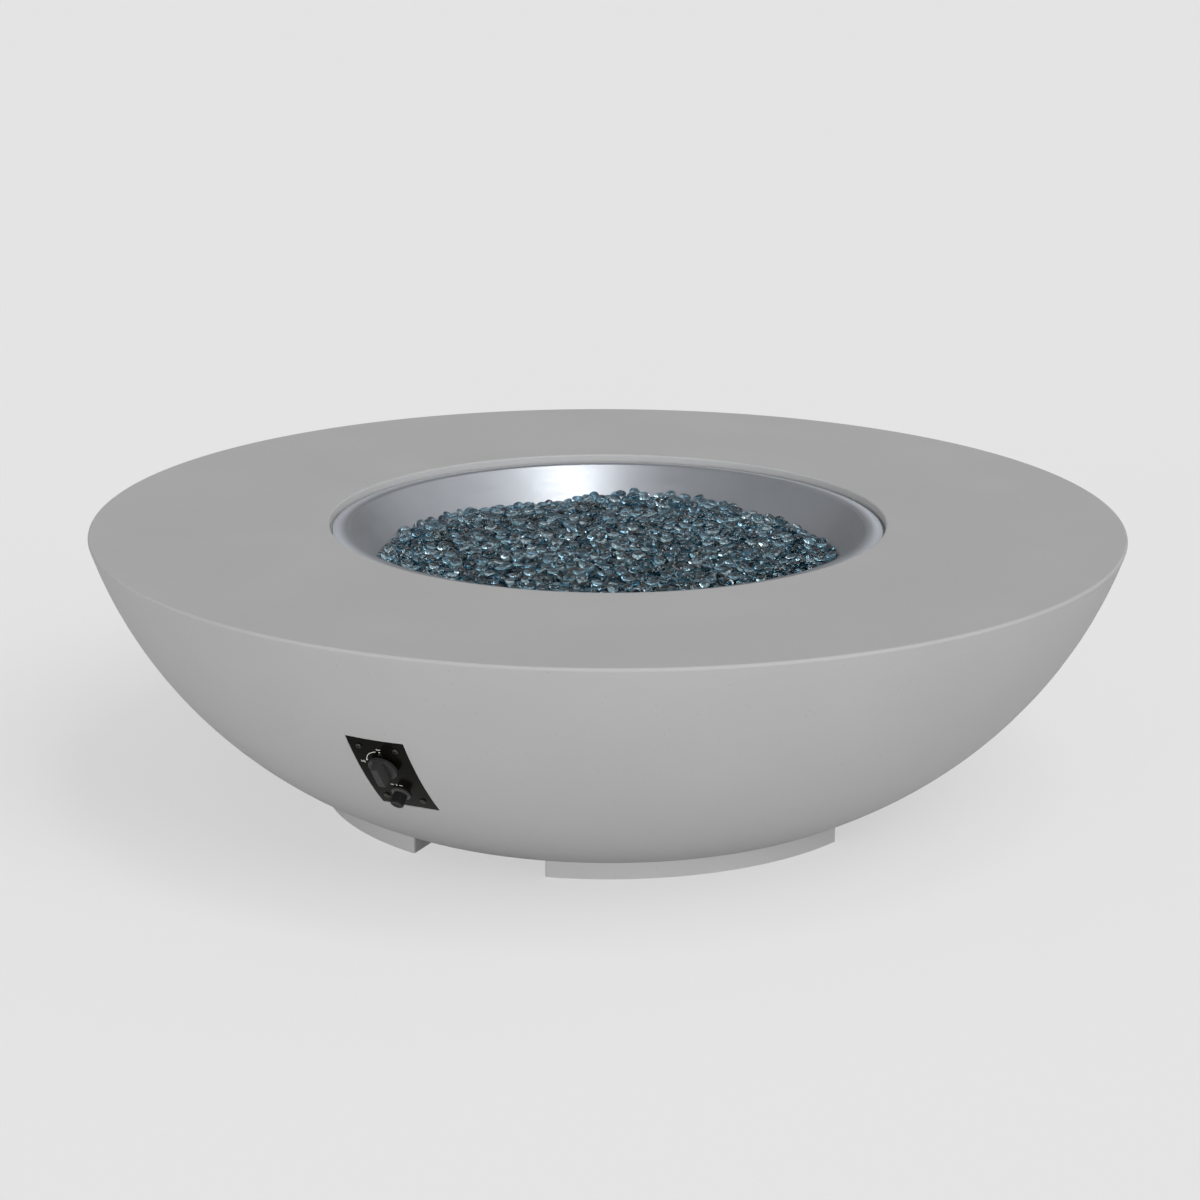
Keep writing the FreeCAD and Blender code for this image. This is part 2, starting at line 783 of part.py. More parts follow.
def foot_fasteners():
    grip = "(foot_height - foot_bolt_sink + wall + foot_washer_thickness + foot_nut_height + foot_bolt_spare)"
    blank = turned("foot_bolt_blank", [
        ("0", "foot_bolt_sink - foot_bolt_head_height"),
        ("foot_bolt_head_dia/2", "foot_bolt_sink - foot_bolt_head_height"),
        ("foot_bolt_head_dia/2", "foot_bolt_sink"), ("foot_bolt_dia/2", "foot_bolt_sink"),
        ("foot_bolt_dia/2", f"foot_bolt_sink + {grip}"), ("0", f"foot_bolt_sink + {grip}"),
    ])
    socket = new_sketch(blank, "XY_Plane", "foot_bolt_sink - foot_bolt_head_height")
    add_hexagon(socket, "foot_bolt_key")
    pocket(blank, socket, "foot_bolt_head_height/2", reverse=True)
    keep(copies("foot_bolts", blank, foot_bolt_places("0")), "foot_bolts")
    washer = sleeve("foot_washer_blank", "foot_washer_dia", "foot_bolt_dia + 2*fit_gap",
                    "inside_z", "inside_z + foot_washer_thickness")
    keep(copies("foot_washers", washer, foot_bolt_places("0")), "foot_washers")
    nut = hex_nut("foot_nut_blank", "foot_nut_key", "foot_bolt_dia + 2*fit_gap",
                  "inside_z + foot_washer_thickness", "foot_nut_height")
    keep(copies("foot_nuts", nut, foot_bolt_places("0")), "foot_nuts")


# ---------------------------------------------------------------- pan, gasket, glass

def pilot_hole_places():
    """Return the x of the spark electrode and of the thermocouple, left and right."""
    return ("-pilot_spread/2", "pilot_spread/2")


def burner_pan():
    """Pressed pan: sloping flange, cone wall, flat floor, one sheet thickness throughout."""
    mitre = "(1 + cos(pan_wall_angle + pan_flange_slope))"
    body = turned("burner_pan", [
        ("0", "pan_floor_z"), ("0", "pan_under_z"),
        ("pan_floor_r + pan_sheet*tan(pan_wall_angle/2)", "pan_under_z"),
        (f"crease_r + pan_sheet*(sin(pan_wall_angle) - sin(pan_flange_slope))/{mitre}",
         f"crease_z - pan_sheet*(cos(pan_wall_angle) + cos(pan_flange_slope))/{mitre}"),
        ("pan_dia/2", "pan_edge_z - pan_sheet/cos(pan_flange_slope)"), ("pan_dia/2", "pan_edge_z"),
        ("crease_r", "crease_z"), ("pan_floor_r", "pan_floor_z"),
    ])
    crease_r, crease_z = number("crease_r"), number("crease_z")
    round_edges(body, "pan_bend + pan_sheet", lambda edge: is_ring(edge, crease_r, crease_z))
    under_r = number(f"crease_r + pan_sheet*(sin(pan_wall_angle) - sin(pan_flange_slope))/{mitre}")
    under_z = number(f"crease_z - pan_sheet*(cos(pan_wall_angle) + cos(pan_flange_slope))/{mitre}")
    round_edges(body, "pan_bend", lambda edge: is_ring(edge, under_r, under_z))
    holes = new_sketch(body, "XY_Plane", "pan_floor_z")
    add_circle(holes, "nipple_dia + 2*bolt_play")
    add_circle(holes, "insulator_dia + 2*bolt_play", "-pilot_spread/2", "-pilot_reach")
    add_circle(holes, "probe_dia + 2*bolt_play", "pilot_spread/2", "-pilot_reach")
    for x, y in pilot_screw_points():
        add_circle(holes, "pilot_screw_dia + bolt_play", x, y)
    pocket(body, holes, "2*pan_sheet")
    weep = new_sketch(body, "XY_Plane", "pan_floor_z")
    add_circle(weep, "weep_hole_dia", "weep_ring/2")
    around(body, pocket(body, weep, "2*pan_sheet"), 4)
    keep(body, "burner_pan")


def rim_gasket():
    """Heat-proof gasket pressed between the stone ledge and the underside of the pan's flange."""
    outer = "(pan_dia/2 - gasket_inset)"
    inner = "(pan_dia/2 - gasket_inset - gasket_width)"
    under = "pan_edge_z - pan_sheet/cos(pan_flange_slope) + (pan_dia/2 - {})*tan(pan_flange_slope)"
    keep(turned("rim_gasket", [
        (inner, "ledge_z"), (outer, "ledge_z"), (outer, under.format(outer)), (inner, under.format(inner)),
    ]), "rim_gasket")


def pebble_tops():
    """Balls sunk in the bed's dome in a sunflower pattern, whose tops are the uppermost pebbles."""
    ball_r, dome_r = number("pebble_ball_r"), number("bed_dome_r")
    step = (2 * ball_r + number("pebble_gap")) / SUNFLOWER_SPACING
    reach_limit = number("bed_edge_r - pebble_dia/2")
    balls = []
    for index in range(int((reach_limit / step) ** 2)):
        reach, bearing = step * math.sqrt(index + SUNFLOWER_START), index * SUNFLOWER_TURN
        z = number("bed_top_z + pebble_rise") - ball_r - dome_r + math.sqrt(dome_r ** 2 - reach ** 2)
        balls.append(Part.makeSphere(ball_r, V(reach * math.cos(bearing), reach * math.sin(bearing), z)))
    item = doc.addObject("Part::Feature", "glass_pebble_tops")
    item.Shape = Part.makeCompound(balls)
    return item


def glass_bed():
    """Bed of glass pebbles: fills the pan around the burner and the pilot cage, with a low dome."""
    bed = turned("glass_bed_whole", [
        ("0", "pan_floor_z"), ("bed_spread_r", "pan_floor_z"),
        ("bed_spread_r", "bed_spread_z", "bed_dome_r", 1), ("0", "bed_top_z"),
    ])
    heap = joined("glass_heap", [bed, pebble_tops()])
    around_burner = burner_outside("glass_burner_room", "2*bed_gap")
    around_cage = doc.addObject("Part::Box", "glass_cage_room")
    bind(around_cage, Length="cage_width + 2*bed_gap", Width="cage_back - cage_front + 2*bed_gap",
         Height="cage_height + bed_gap")
    place(around_cage, "-cage_width/2 - bed_gap", "-cage_back - bed_gap", "pan_floor_z")
    around_wall = turned("glass_wall_room", [
        ("bed_room_r - bed_gap/tan(pan_wall_angle)", "pan_floor_z - bed_gap"),
        ("pan_dia/2", "pan_floor_z - bed_gap"), ("pan_dia/2", "pit_height"),
        ("bed_room_r + pan_depth/tan(pan_wall_angle)", "pit_height"),
    ])
    rooms = joined("glass_room", [around_burner, around_cage, around_wall])
    keep(cut("glass_bed", heap, rooms), "glass_bed")


# ---------------------------------------------------------------- burner and gas train

SPOKE_BEARINGS = (45, 135, 225, 315)


def ring_tube(name, ring_dia, tube_dia):
    item = doc.addObject("Part::Torus", name)
    bind(item, Radius1=f"({ring_dia})/2", Radius2=f"({tube_dia})/2")
    place(item, z="burner_z")
    return item


def burner_outside(name, extra):
    """Fuse the burner's outer forms: two rings, four spokes and the hub, grown by extra."""
    tube = f"burner_tube_dia + {extra}"
    parts = [ring_tube(name + "_outer", "outer_ring_dia", tube),
             ring_tube(name + "_inner", "inner_ring_dia", tube)]
    for bearing in SPOKE_BEARINGS:
        parts.append(lying_cylinder(f"{name}_spoke_{bearing}", tube, "outer_ring_dia/2", bearing, "burner_z"))
    parts.append(cylinder(name + "_hub", f"hub_dia + {extra}", f"hub_height + ({extra})/2", z="pan_floor_z"))
    return joined(name, parts)


def burner():
    """Double ring burner: hollow rings and spokes, gas ports along the top, threaded hub."""
    bore = "burner_tube_dia - 2*burner_tube_wall"
    hollow = [ring_tube("burner_outer_bore", "outer_ring_dia", bore),
              ring_tube("burner_inner_bore", "inner_ring_dia", bore)]
    for bearing in SPOKE_BEARINGS:
        hollow.append(lying_cylinder(f"burner_bore_{bearing}", bore, "outer_ring_dia/2", bearing, "burner_z"))
    hollow.append(cylinder("burner_chamber", "nipple_dia + 2*fit_gap", "hub_height - hub_cap",
                           z="pan_floor_z"))
    for ring, count in (("outer", "outer_ports"), ("inner", "inner_ports")):
        for index in range(int(number(count))):
            angle = f"(({index} + 0.5)*360/{count})"
            reach = f"{ring}_ring_dia/2"
            hollow.append(cylinder(f"burner_{ring}_port_{index + 1}", "port_dia", "burner_tube_dia",
                                   f"{reach}*cos{angle}", f"{reach}*sin{angle}", "burner_z"))
    item = cut("burner", burner_outside("burner_outside", "0"), joined("burner_hollow", hollow))
    keep(item, "burner")


def nipple_and_mixer():
    keep(sleeve("burner_nipple", "nipple_dia", "nipple_bore", "nipple_bottom_z", "nipple_top_z"),
         "burner_nipple")
    keep(sleeve("nipple_washer", "nipple_washer_dia", "nipple_dia + 2*fit_gap",
                "locknut_top_z", "pan_under_z"), "nipple_washer")
    keep(hex_nut("nipple_locknut", "locknut_key", "nipple_dia + 2*fit_gap",
                 "locknut_top_z - locknut_height", "locknut_height"), "nipple_locknut")
    body = turned("mixer_body", [
        ("nipple_dia/2 + fit_gap", "mixer_top_z"), ("nipple_dia/2 + fit_gap", "nipple_bottom_z"),
        ("mixer_throat/2", "nipple_bottom_z"), ("mixer_throat/2", "mixer_bottom_z + flare_length"),
        ("flare_dia/2 + fit_gap", "mixer_bottom_z + flare_length"),
        ("flare_dia/2 + fit_gap", "mixer_bottom_z"), ("mixer_dia/2", "mixer_bottom_z"),
        ("mixer_dia/2", "mixer_top_z"),
    ])
    air = [lying_cylinder(f"mixer_air_{bearing}", "mixer_hole_dia", "mixer_dia", bearing,
                          "mixer_bottom_z + mixer_hole_rise") for bearing in (0, 90, 180, 270)]
    keep(cut("air_mixer", body, joined("mixer_air", air)), "air_mixer")


def orifice_fitting():
    """Orifice spud: threaded into the mixer, hexagon shoulder, flare for the gas line."""
    body = new_body("orifice_fitting")
    sketch = new_sketch(body, "XY_Plane", "mixer_bottom_z - flare_shoulder")
    add_hexagon(sketch, "flare_key")
    pad(body, sketch, "flare_shoulder")
    ends = new_sketch(body, "XY_Plane", "orifice_tip_z")
    add_circle(ends, "flare_dia")
    pad(body, ends, "flare_shoulder + 2*flare_length - fit_gap")
    hole = new_sketch(body, "XY_Plane", "orifice_tip_z")
    add_circle(hole, "orifice_dia")
    pocket(body, hole, "flare_shoulder + 2*flare_length", reverse=True)
    inlet = new_sketch(body, "XY_Plane", "orifice_tip_z")
    add_circle(inlet, "flare_bore")
    pocket(body, inlet, "flare_shoulder + flare_length", reverse=True)
    keep(body, "orifice_fitting")


def inlet_point():
    """Return the x and y formulas of the gas inlet's upright axis."""
    return ("inlet_r*cos(inlet_bearing)", "inlet_r*sin(inlet_bearing)")


def bracket_screw_places(z):
    places = []
    for side in (-1, 1):
        reach = "(bracket_foot_start + bracket_screw_inset)"
        across = f"({side}*bracket_screw_spacing/2)"
        x = f"{reach}*cos(inlet_bearing) - {across}*sin(inlet_bearing)"
        y = f"{reach}*sin(inlet_bearing) + {across}*cos(inlet_bearing)"
        places.append(lambda item, x=x, y=y: place(item, x, y, z))
    return places


def inlet_bracket():
    """Folded bracket: foot on the bowl's floor, upright, shelf that reaches over the service hole."""
    body = new_body("inlet_bracket")
    sketch = new_sketch(body, "XZ_Plane")
    start, sheet = "bracket_foot_start", "bracket_sheet"
    reach = "(inlet_r - bracket_width/2)"
    add_loop(sketch, [
        (start, "inside_z"), (f"{start} + bracket_foot_length", "inside_z"),
        (f"{start} + bracket_foot_length", f"inside_z + {sheet}"),
        (f"{start} + {sheet}", f"inside_z + {sheet}"),
        (f"{start} + {sheet}", "shelf_z"), (reach, "shelf_z"), (reach, f"shelf_z - {sheet}"),
        (start, f"shelf_z - {sheet}"),
    ])
    pad(body, sketch, "bracket_width", symmetric=True)
    shelf_hole = new_sketch(body, "XY_Plane", "shelf_z")
    add_circle(shelf_hole, "inlet_thread_dia + 2*fit_gap", "inlet_r")
    pocket(body, shelf_hole, "2*bracket_sheet")
    foot_holes = new_sketch(body, "XY_Plane", "inside_z + bracket_sheet")
    for side in (-1, 1):
        add_circle(foot_holes, "bracket_screw_dia + 2*bolt_play", "bracket_foot_start + bracket_screw_inset",
                   f"{side}*bracket_screw_spacing/2")
    pocket(body, foot_holes, "2*bracket_sheet")
    place(body, turn="inlet_bearing")
    keep(body, "inlet_bracket")
    blank = screw("bracket_screw_blank", "2*bracket_screw_dia", "bracket_screw_dia/2", "bracket_screw_dia",
                  "bracket_screw_length - bracket_sheet", "bracket_screw_dia/2")
    keep(copies("bracket_screws", blank, bracket_screw_places("inside_z + bracket_sheet")), "bracket_screws")


def inlet_fitting():
    """Bulkhead fitting: flare up to the supply line, flare down for the gas hose."""
    body = turned("inlet_fitting", [
        ("flare_bore/2", "inlet_neck_z - inlet_tail"), ("flare_dia/2", "inlet_neck_z - inlet_tail"),
        ("flare_dia/2", "inlet_neck_z"), ("inlet_thread_dia/2", "inlet_neck_z"),
        ("inlet_thread_dia/2", "shelf_z"), ("flare_key/2", "shelf_z"),
        ("flare_key/2", "shelf_z + flare_shoulder"), ("flare_dia/2", "shelf_z + flare_shoulder"),
        ("flare_dia/2", "inlet_top_z"), ("flare_bore/2", "inlet_top_z"),
    ])
    hexagon = new_sketch(body, "XY_Plane", "shelf_z")
    add_hexagon(hexagon, "flare_key")
    add_circle(hexagon, "flare_dia")
    pad(body, hexagon, "flare_shoulder")
    place(body, *inlet_point())
    keep(body, "inlet_fitting")
    nut = hex_nut("inlet_locknut", "inlet_nut_key", "inlet_thread_dia + 2*fit_gap",
                  "inlet_neck_z", "inlet_nut_height")
    place(nut, *inlet_point())
    keep(nut, "inlet_locknut")


# ---------------------------------------------------------------- control plate

def control_plate():
    """Rolled plate that follows the bowl's side, drilled for stem, igniter and screws."""
    blank = new_body("control_plate_blank")
    sketch = new_sketch(blank, "YZ_Plane")
    panel_sector(sketch, "plate_r", "seat_r", "plate_top_angle", "plate_bottom_angle")
    pad(blank, sketch, "plate_width", symmetric=True)
    depth = "3*plate_thickness"
    drill = "-2*plate_thickness"
    stem_hole = cylinder("plate_stem_hole", "stem_hole_dia", depth, z=drill)
    igniter_hole = cylinder("plate_igniter_hole", "igniter_thread_dia + 2*fit_gap", depth, z=drill)
    screw_hole = cylinder("plate_screw_hole", "plate_screw_dia + 2*bolt_play", depth, z=drill)
    valve_hole = cylinder("plate_valve_hole", "valve_screw_dia + 2*bolt_play", depth, z=drill)
    at_knob = [lambda item: place_on_panel(item, "knob_down")]
    at_igniter = [lambda item: place_on_panel(item, "igniter_down")]
    tools = [
        copies("plate_stem_cut", wrapped(stem_hole), at_knob),
        copies("plate_igniter_cut", wrapped(igniter_hole), at_igniter),
        copies("plate_screw_cut", wrapped(screw_hole), plate_screw_places()),
        copies("plate_valve_cut", wrapped(valve_hole), valve_screw_places()),
    ]
    item = blank
    for index, tool in enumerate(tools[:-1]):
        item = cut(f"control_plate_stage_{index + 1}", item, tool)
    keep(cut("control_plate", item, tools[-1]), "control_plate")


def valve_screw_places():
    """Return placing functions for the valve's two screws, parallel to the valve's own axis."""
    angle = panel_angle("knob_down")
    places = []
    for side in (-1, 1):
        along = f"({side}*valve_screw_spread/2)"
        # The plate curves away from the valve's axis, so the heads seat a little further in.
        sink = "((valve_screw_spread/2 - valve_screw_head_dia/2)^2/(2*plate_r))"
        y = f"-curve_centre_reach - (plate_r - {sink})*cos({angle}) - {along}*sin({angle})"
        z = f"curve_z - (plate_r - {sink})*sin({angle}) + {along}*cos({angle})"
        places.append(lambda item, y=y, z=z: place(item, "0", y, z, f"90 + {angle}", X_AXIS))
    return places


def plate_fasteners():
    blank = screw("plate_screw_blank", "plate_screw_head_dia", "plate_screw_head_height",
                  "plate_screw_dia - 2*fit_gap", "plate_screw_length", "plate_screw_key")
    keep(copies("plate_screws", blank, plate_screw_places()), "plate_screws")
    insert = sleeve("insert_blank", "insert_dia", "plate_screw_dia",
                    "-plate_thickness - insert_length", "-plate_thickness - fit_gap")
    keep(copies("threaded_inserts", insert, plate_screw_places()), "threaded_inserts")
    small = screw("valve_screw_blank", "valve_screw_head_dia", "valve_screw_head_height",
                  "valve_screw_dia - 2*fit_gap", "valve_screw_length", "valve_screw_dia/2")
    keep(copies("valve_screws", small, valve_screw_places()), "valve_screws")


# ---------------------------------------------------------------- gas valve and knob

def valve_body():
    """Brass valve body: flange behind the plate, tapered plug bore, gas chamber, two ports."""
    body = new_body("valve_body")
    flange = new_sketch(body, "XY_Plane", "-valve_top")
    add_rectangle(flange, "valve_flange_width", "valve_flange_length")
    pad(body, flange, "valve_flange_thickness", reverse=True)
    round_edges(body, "valve_flange_round", is_upright)
    barrel = new_sketch(body, "XY_Plane", "-valve_top")
    add_circle(barrel, "valve_barrel_dia")
    pad(body, barrel, "valve_bottom - valve_top", reverse=True)
    for depth, backwards in (("outlet_depth", False), ("inlet_depth", True)):
        boss = new_sketch(body, "YZ_Plane")
        add_circle(boss, "flare_dia", "0", f"-{depth}")
        pad(body, boss, "port_reach", reverse=backwards)
    groove(body, [
        ("0", "-valve_top"), ("0", "-chamber_bottom"), ("chamber_dia/2", "-chamber_bottom"),
        ("chamber_dia/2", "-plug_bottom"), ("plug_bottom_dia/2", "-plug_bottom"),
        ("plug_top_dia/2", "-plug_top"), ("gland_dia/2 + fit_gap", "-plug_top"),
        ("gland_dia/2 + fit_gap", "-valve_top"),
    ])
    for depth, backwards in (("outlet_depth", False), ("inlet_depth", True)):
        port = new_sketch(body, "YZ_Plane")
        add_circle(port, "flare_bore", "0", f"-{depth}")
        pocket(body, port, "2*port_reach", reverse=not backwards)
    taps = new_sketch(body, "XY_Plane", "-valve_top")
    for side in (-1, 1):
        add_circle(taps, "valve_screw_dia", "0", f"{side}*valve_screw_spread/2")
    pocket(body, taps, "2*valve_flange_thickness")
    place_on_panel(body, "knob_down")
    keep(body, "valve_body")


def valve_gland():
    """Threaded ring that holds the stem's collar and guides the stem."""
    body = sleeve("valve_gland", "gland_dia", "stem_dia + 2*running_gap", "-gland_bottom", "-valve_top")
    place_on_panel(body, "knob_down")
    keep(body, "valve_gland")


def valve_plug():
    """Tapered plug: turns in the body, holds the spring and the stem's tongue, passes the gas."""
    body = turned("valve_plug", [
        ("0", "-plug_bottom"), ("plug_bottom_dia/2 - running_gap", "-plug_bottom"),
        ("plug_top_dia/2 - running_gap", "-plug_top"), ("plug_spring_bore/2", "-plug_top"),
        ("plug_spring_bore/2", "-plug_spring_seat"), ("0", "-plug_spring_seat"),
    ])
    slot = new_sketch(body, "XY_Plane", "-plug_spring_seat")
    add_rectangle(slot, "tongue_width + 2*running_gap", "tongue_thickness + 2*running_gap")
    pocket(body, slot, "plug_slot_end - plug_spring_seat")
    passage = new_sketch(body, "XY_Plane", "-plug_bottom")
    add_circle(passage, "plug_passage_dia")
    pocket(body, passage, "plug_bottom - outlet_depth", reverse=True)
    port = new_sketch(body, "YZ_Plane")
    add_circle(port, "plug_port_dia", "0", "-outlet_depth")
    pocket(body, port, "plug_top_dia", reverse=False)
    place_on_panel(body, "knob_down")
    keep(body, "valve_plug")


def coil_spring(name, coil_dia, wire, pitch, bottom, top, down):
    """Round-wire coil between two heights, standing on the control plate's frame."""
    helix = doc.addObject("Part::Helix", name + "_path")
    bind(helix, Pitch=pitch, Height=f"({top}) - ({bottom}) - ({wire})", Radius=f"({coil_dia})/2")
    helix.SegmentLength = HALF_TURN
    section = doc.addObject("Part::Circle", name + "_section")
    bind(section, Radius=f"({wire})/2")
    place(section, x=f"({coil_dia})/2", turn="90", axis=X_AXIS)
    wire_sweep = doc.addObject("Part::Sweep", name)
    wire_sweep.Sections = [section]
    wire_sweep.Spine = (helix, [])
    wire_sweep.Solid = True
    wire_sweep.Frenet = True
    angle = panel_angle(down)
    lift = f"(({bottom}) + ({wire})/2)"
    y = f"-curve_centre_reach - (plate_r + {lift})*cos({angle})"
    z = f"curve_z - (plate_r + {lift})*sin({angle})"
    place(wire_sweep, "0", y, z, f"90 + {angle}", X_AXIS)
    keep(wire_sweep, name)


def valve_stem():
    """Push-and-turn stem: D-shaped shaft, collar, flat tongue that drives the plug."""
    body = turned("valve_stem", [
        ("0", "-collar_bottom"), ("stem_collar_dia/2", "-collar_bottom"),
        ("stem_collar_dia/2", "-collar_top"), ("stem_dia/2", "-collar_top"),
        ("stem_dia/2", "stem_top"), ("0", "stem_top"),
    ])
    tongue = new_sketch(body, "XY_Plane", "-collar_bottom")
    add_rectangle(tongue, "tongue_width", "tongue_thickness")
    pad(body, tongue, "tongue_end - collar_bottom", reverse=True)
    flat = new_sketch(body, "XY_Plane", "stem_top")
    add_rectangle(flat, "stem_dia", "stem_flat", "0", "(stem_dia/2 - stem_flat/2)")
    pocket(body, flat, "stem_top - knob_gap")
    place_on_panel(body, "knob_down")
    keep(body, "valve_stem")


def control_knob():
    """Knob: round skirt, tapered grip bar across it, D-shaped bore on the stem."""
    body = turned("control_knob", [
        ("0", "knob_gap"), ("knob_dia/2", "knob_gap"),
        ("knob_dia/2", "knob_skirt_top - knob_skirt_rise"),
        ("knob_dia/2 - knob_skirt_rise", "knob_skirt_top"), ("0", "knob_skirt_top"),
    ])
    bar = new_sketch(body, "XY_Plane", "knob_gap + knob_hollow_depth")
    half, tip = "knob_bar_width/2", "sqrt((knob_dia/2)^2 - (knob_bar_width/2)^2)"
    add_loop(bar, [
        (half, f"-{tip}"), (half, tip, "knob_dia/2", 1), (f"-{half}", tip),
        (f"-{half}", f"-{tip}", "knob_dia/2", 1),
    ])
    grip = pad(body, bar, "knob_front - knob_gap - knob_hollow_depth")
    bind(grip, TaperAngle="-knob_bar_taper")
    doc.recompute()
    front = number("knob_front")
    round_edges(body, "knob_round", lambda edge: all(abs(v.Point.z - front) < SAME for v in edge.Vertexes))
    hollow = new_sketch(body, "XY_Plane", "knob_gap")
    add_circle(hollow, "knob_hollow_dia")
    add_circle(hollow, "2*stem_dia")
    pocket(body, hollow, "knob_hollow_depth", reverse=True)
    bore = new_sketch(body, "XY_Plane", "knob_gap")
    edge = "(stem_dia/2 + fit_gap)"
    flat = "(stem_dia/2 - stem_flat + fit_gap)"
    side = f"sqrt({edge}^2 - {flat}^2)"
    add_loop(bore, [
        (f"-{side}", flat, edge, 1), (f"-{edge}*sin(30)", f"-{edge}*cos(30)", edge, 1),
        (f"{edge}*sin(30)", f"-{edge}*cos(30)", edge, 1), (side, flat),
    ])
    pocket(body, bore, "stem_top - knob_gap + fit_gap", reverse=True)
    place_on_panel(body, "knob_down")
    keep(body, "control_knob")


def magnet_unit():
    """Flame-failure magnet unit on the valve's tail, and the thermocouple's nut."""
    body = cylinder("magnet_body", "magnet_dia", "magnet_length", z="-magnet_end")
    item = copies("magnet_unit", wrapped(body), [lambda link: place_on_panel(link, "knob_down")])
    keep(item, "magnet_unit")
    nut = hex_nut("thermocouple_nut", "thermocouple_nut_key", "thermocouple_lead_dia + 2*fit_gap",
                  "-magnet_end - thermocouple_nut_height", "thermocouple_nut_height")
    place_on_panel(nut, "knob_down")
    keep(nut, "thermocouple_nut")


# ---------------------------------------------------------------- igniter

def igniter():
    """Battery spark igniter: housing with collar, nut behind the plate, battery, sprung cap."""
    housing = turned("igniter_housing", [
        ("0", "-igniter_end"), ("igniter_tube_dia/2", "-igniter_end"),
        ("igniter_tube_dia/2", "-igniter_thread_length"), ("igniter_thread_dia/2", "-igniter_thread_length"),
        ("igniter_thread_dia/2", "0"), ("igniter_collar_dia/2", "0"),
        ("igniter_collar_dia/2", "igniter_collar_height - igniter_collar_bevel"),
        ("igniter_collar_dia/2 - igniter_collar_bevel", "igniter_collar_height"),
        ("igniter_mouth_dia/2", "igniter_collar_height"), ("igniter_mouth_dia/2", "-igniter_mouth_depth"),
        ("igniter_bore_dia/2", "-igniter_mouth_depth"), ("igniter_bore_dia/2", "-igniter_bore_end"),
        ("0", "-igniter_bore_end"),
    ])
    place_on_panel(housing, "igniter_down")
    keep(housing, "igniter_housing")
    nut = hex_nut("igniter_nut", "igniter_nut_key", "igniter_thread_dia + 2*fit_gap",
                  "-plate_thickness - valve_seat_gap - igniter_nut_height", "igniter_nut_height")
    place_on_panel(nut, "igniter_down")
    keep(nut, "igniter_nut")
    battery = turned("igniter_battery", [
        ("0", "-igniter_bore_end"), ("battery_dia/2", "-igniter_bore_end"),
        ("battery_dia/2", "-battery_top - battery_nub_height"),
        ("battery_nub_dia/2", "-battery_top - battery_nub_height"), ("battery_nub_dia/2", "-battery_top"),
        ("0", "-battery_top"),
    ])
    place_on_panel(battery, "igniter_down")
    keep(battery, "igniter_battery")
    coil_spring("igniter_spring", "spring_coil_dia", "spring_wire", "igniter_spring_pitch",
                "-battery_top - battery_nub_height + spring_seat_gap",
                "-button_stem_end - spring_seat_gap", "igniter_down")


def igniter_button():
    """Ribbed push cap with a stem that slides in the housing."""
    body = turned("igniter_button", [
        ("0", "-button_stem_end"), ("button_stem_dia/2", "-button_stem_end"),
        ("button_stem_dia/2", "button_back"),
        ("button_dia/2", "button_back"), ("button_dia/2", "button_front - button_dish"),
        ("button_dia/2 - button_dish", "button_front"), ("button_dia/2 - 2*button_dish", "button_front"),
        ("0", "button_front - button_dish"),
    ])
    rib = new_sketch(body, "XY_Plane", "button_front")
    add_circle(rib, "button_rib_dia", "button_dia/2 + button_rib_dia/6")
    around(body, pocket(body, rib, "button_front - igniter_collar_height - button_dish"), "button_ribs")
    place_on_panel(body, "igniter_down")
    keep(body, "igniter_button")


# ---------------------------------------------------------------- pilot assembly

def pilot_screw_points():
    back = "-pilot_reach - pilot_shelf_length/2 - pilot_foot_length/2"
    return [(f"{side}*pilot_screw_spacing/2", back) for side in (-1, 1)]


def pilot_bracket():
    """Folded bracket on the pan's floor that holds electrode and thermocouple upright."""
    body = new_body("pilot_bracket")
    sketch = new_sketch(body, "YZ_Plane")
    sheet = "pilot_sheet"
    bend = "(-pilot_reach - pilot_shelf_length/2)"
    front = "(-pilot_reach + pilot_shelf_length/2)"
    add_loop(sketch, [
        (f"{bend} - pilot_foot_length", "pan_floor_z"), (bend, "pan_floor_z"), (bend, "pilot_shelf_z"),
        (front, "pilot_shelf_z"), (front, "pilot_shelf_top"), (f"{bend} - {sheet}", "pilot_shelf_top"),
        (f"{bend} - {sheet}", f"pan_floor_z + {sheet}"),
        (f"{bend} - pilot_foot_length", f"pan_floor_z + {sheet}"),
    ])
    pad(body, sketch, "pilot_bracket_width", symmetric=True)
    shelf = new_sketch(body, "XY_Plane", "pilot_shelf_top")
    add_circle(shelf, "insulator_dia + 2*fit_gap", "-pilot_spread/2", "-pilot_reach")
    add_circle(shelf, "probe_dia + 2*fit_gap", "pilot_spread/2", "-pilot_reach")
    pocket(body, shelf, "2*pilot_sheet")
    feet_holes = new_sketch(body, "XY_Plane", "pan_floor_z + pilot_sheet")
    for x, y in pilot_screw_points():
        add_circle(feet_holes, "pilot_screw_dia + bolt_play", x, y)
    pocket(body, feet_holes, "2*pilot_sheet")
    keep(body, "pilot_bracket")


def pilot_screws():
    blank = screw("pilot_screw_blank", "pilot_screw_head_dia", "pilot_screw_head_height",
                  "pilot_screw_dia", "pilot_sheet + pan_sheet + pilot_nut_height + 1", "pilot_screw_dia/2")
    over = [lambda item, x=x, y=y: place(item, x, y, "pan_floor_z + pilot_sheet")
            for x, y in pilot_screw_points()]
    keep(copies("pilot_screws", blank, over), "pilot_screws")
    nut = hex_nut("pilot_nut_blank", "pilot_nut_key", "pilot_screw_dia + 2*fit_gap",
                  "-pilot_nut_height", "pilot_nut_height")
    under = [lambda item, x=x, y=y: place(item, x, y, "pan_under_z") for x, y in pilot_screw_points()]
    keep(copies("pilot_nuts", nut, under), "pilot_nuts")


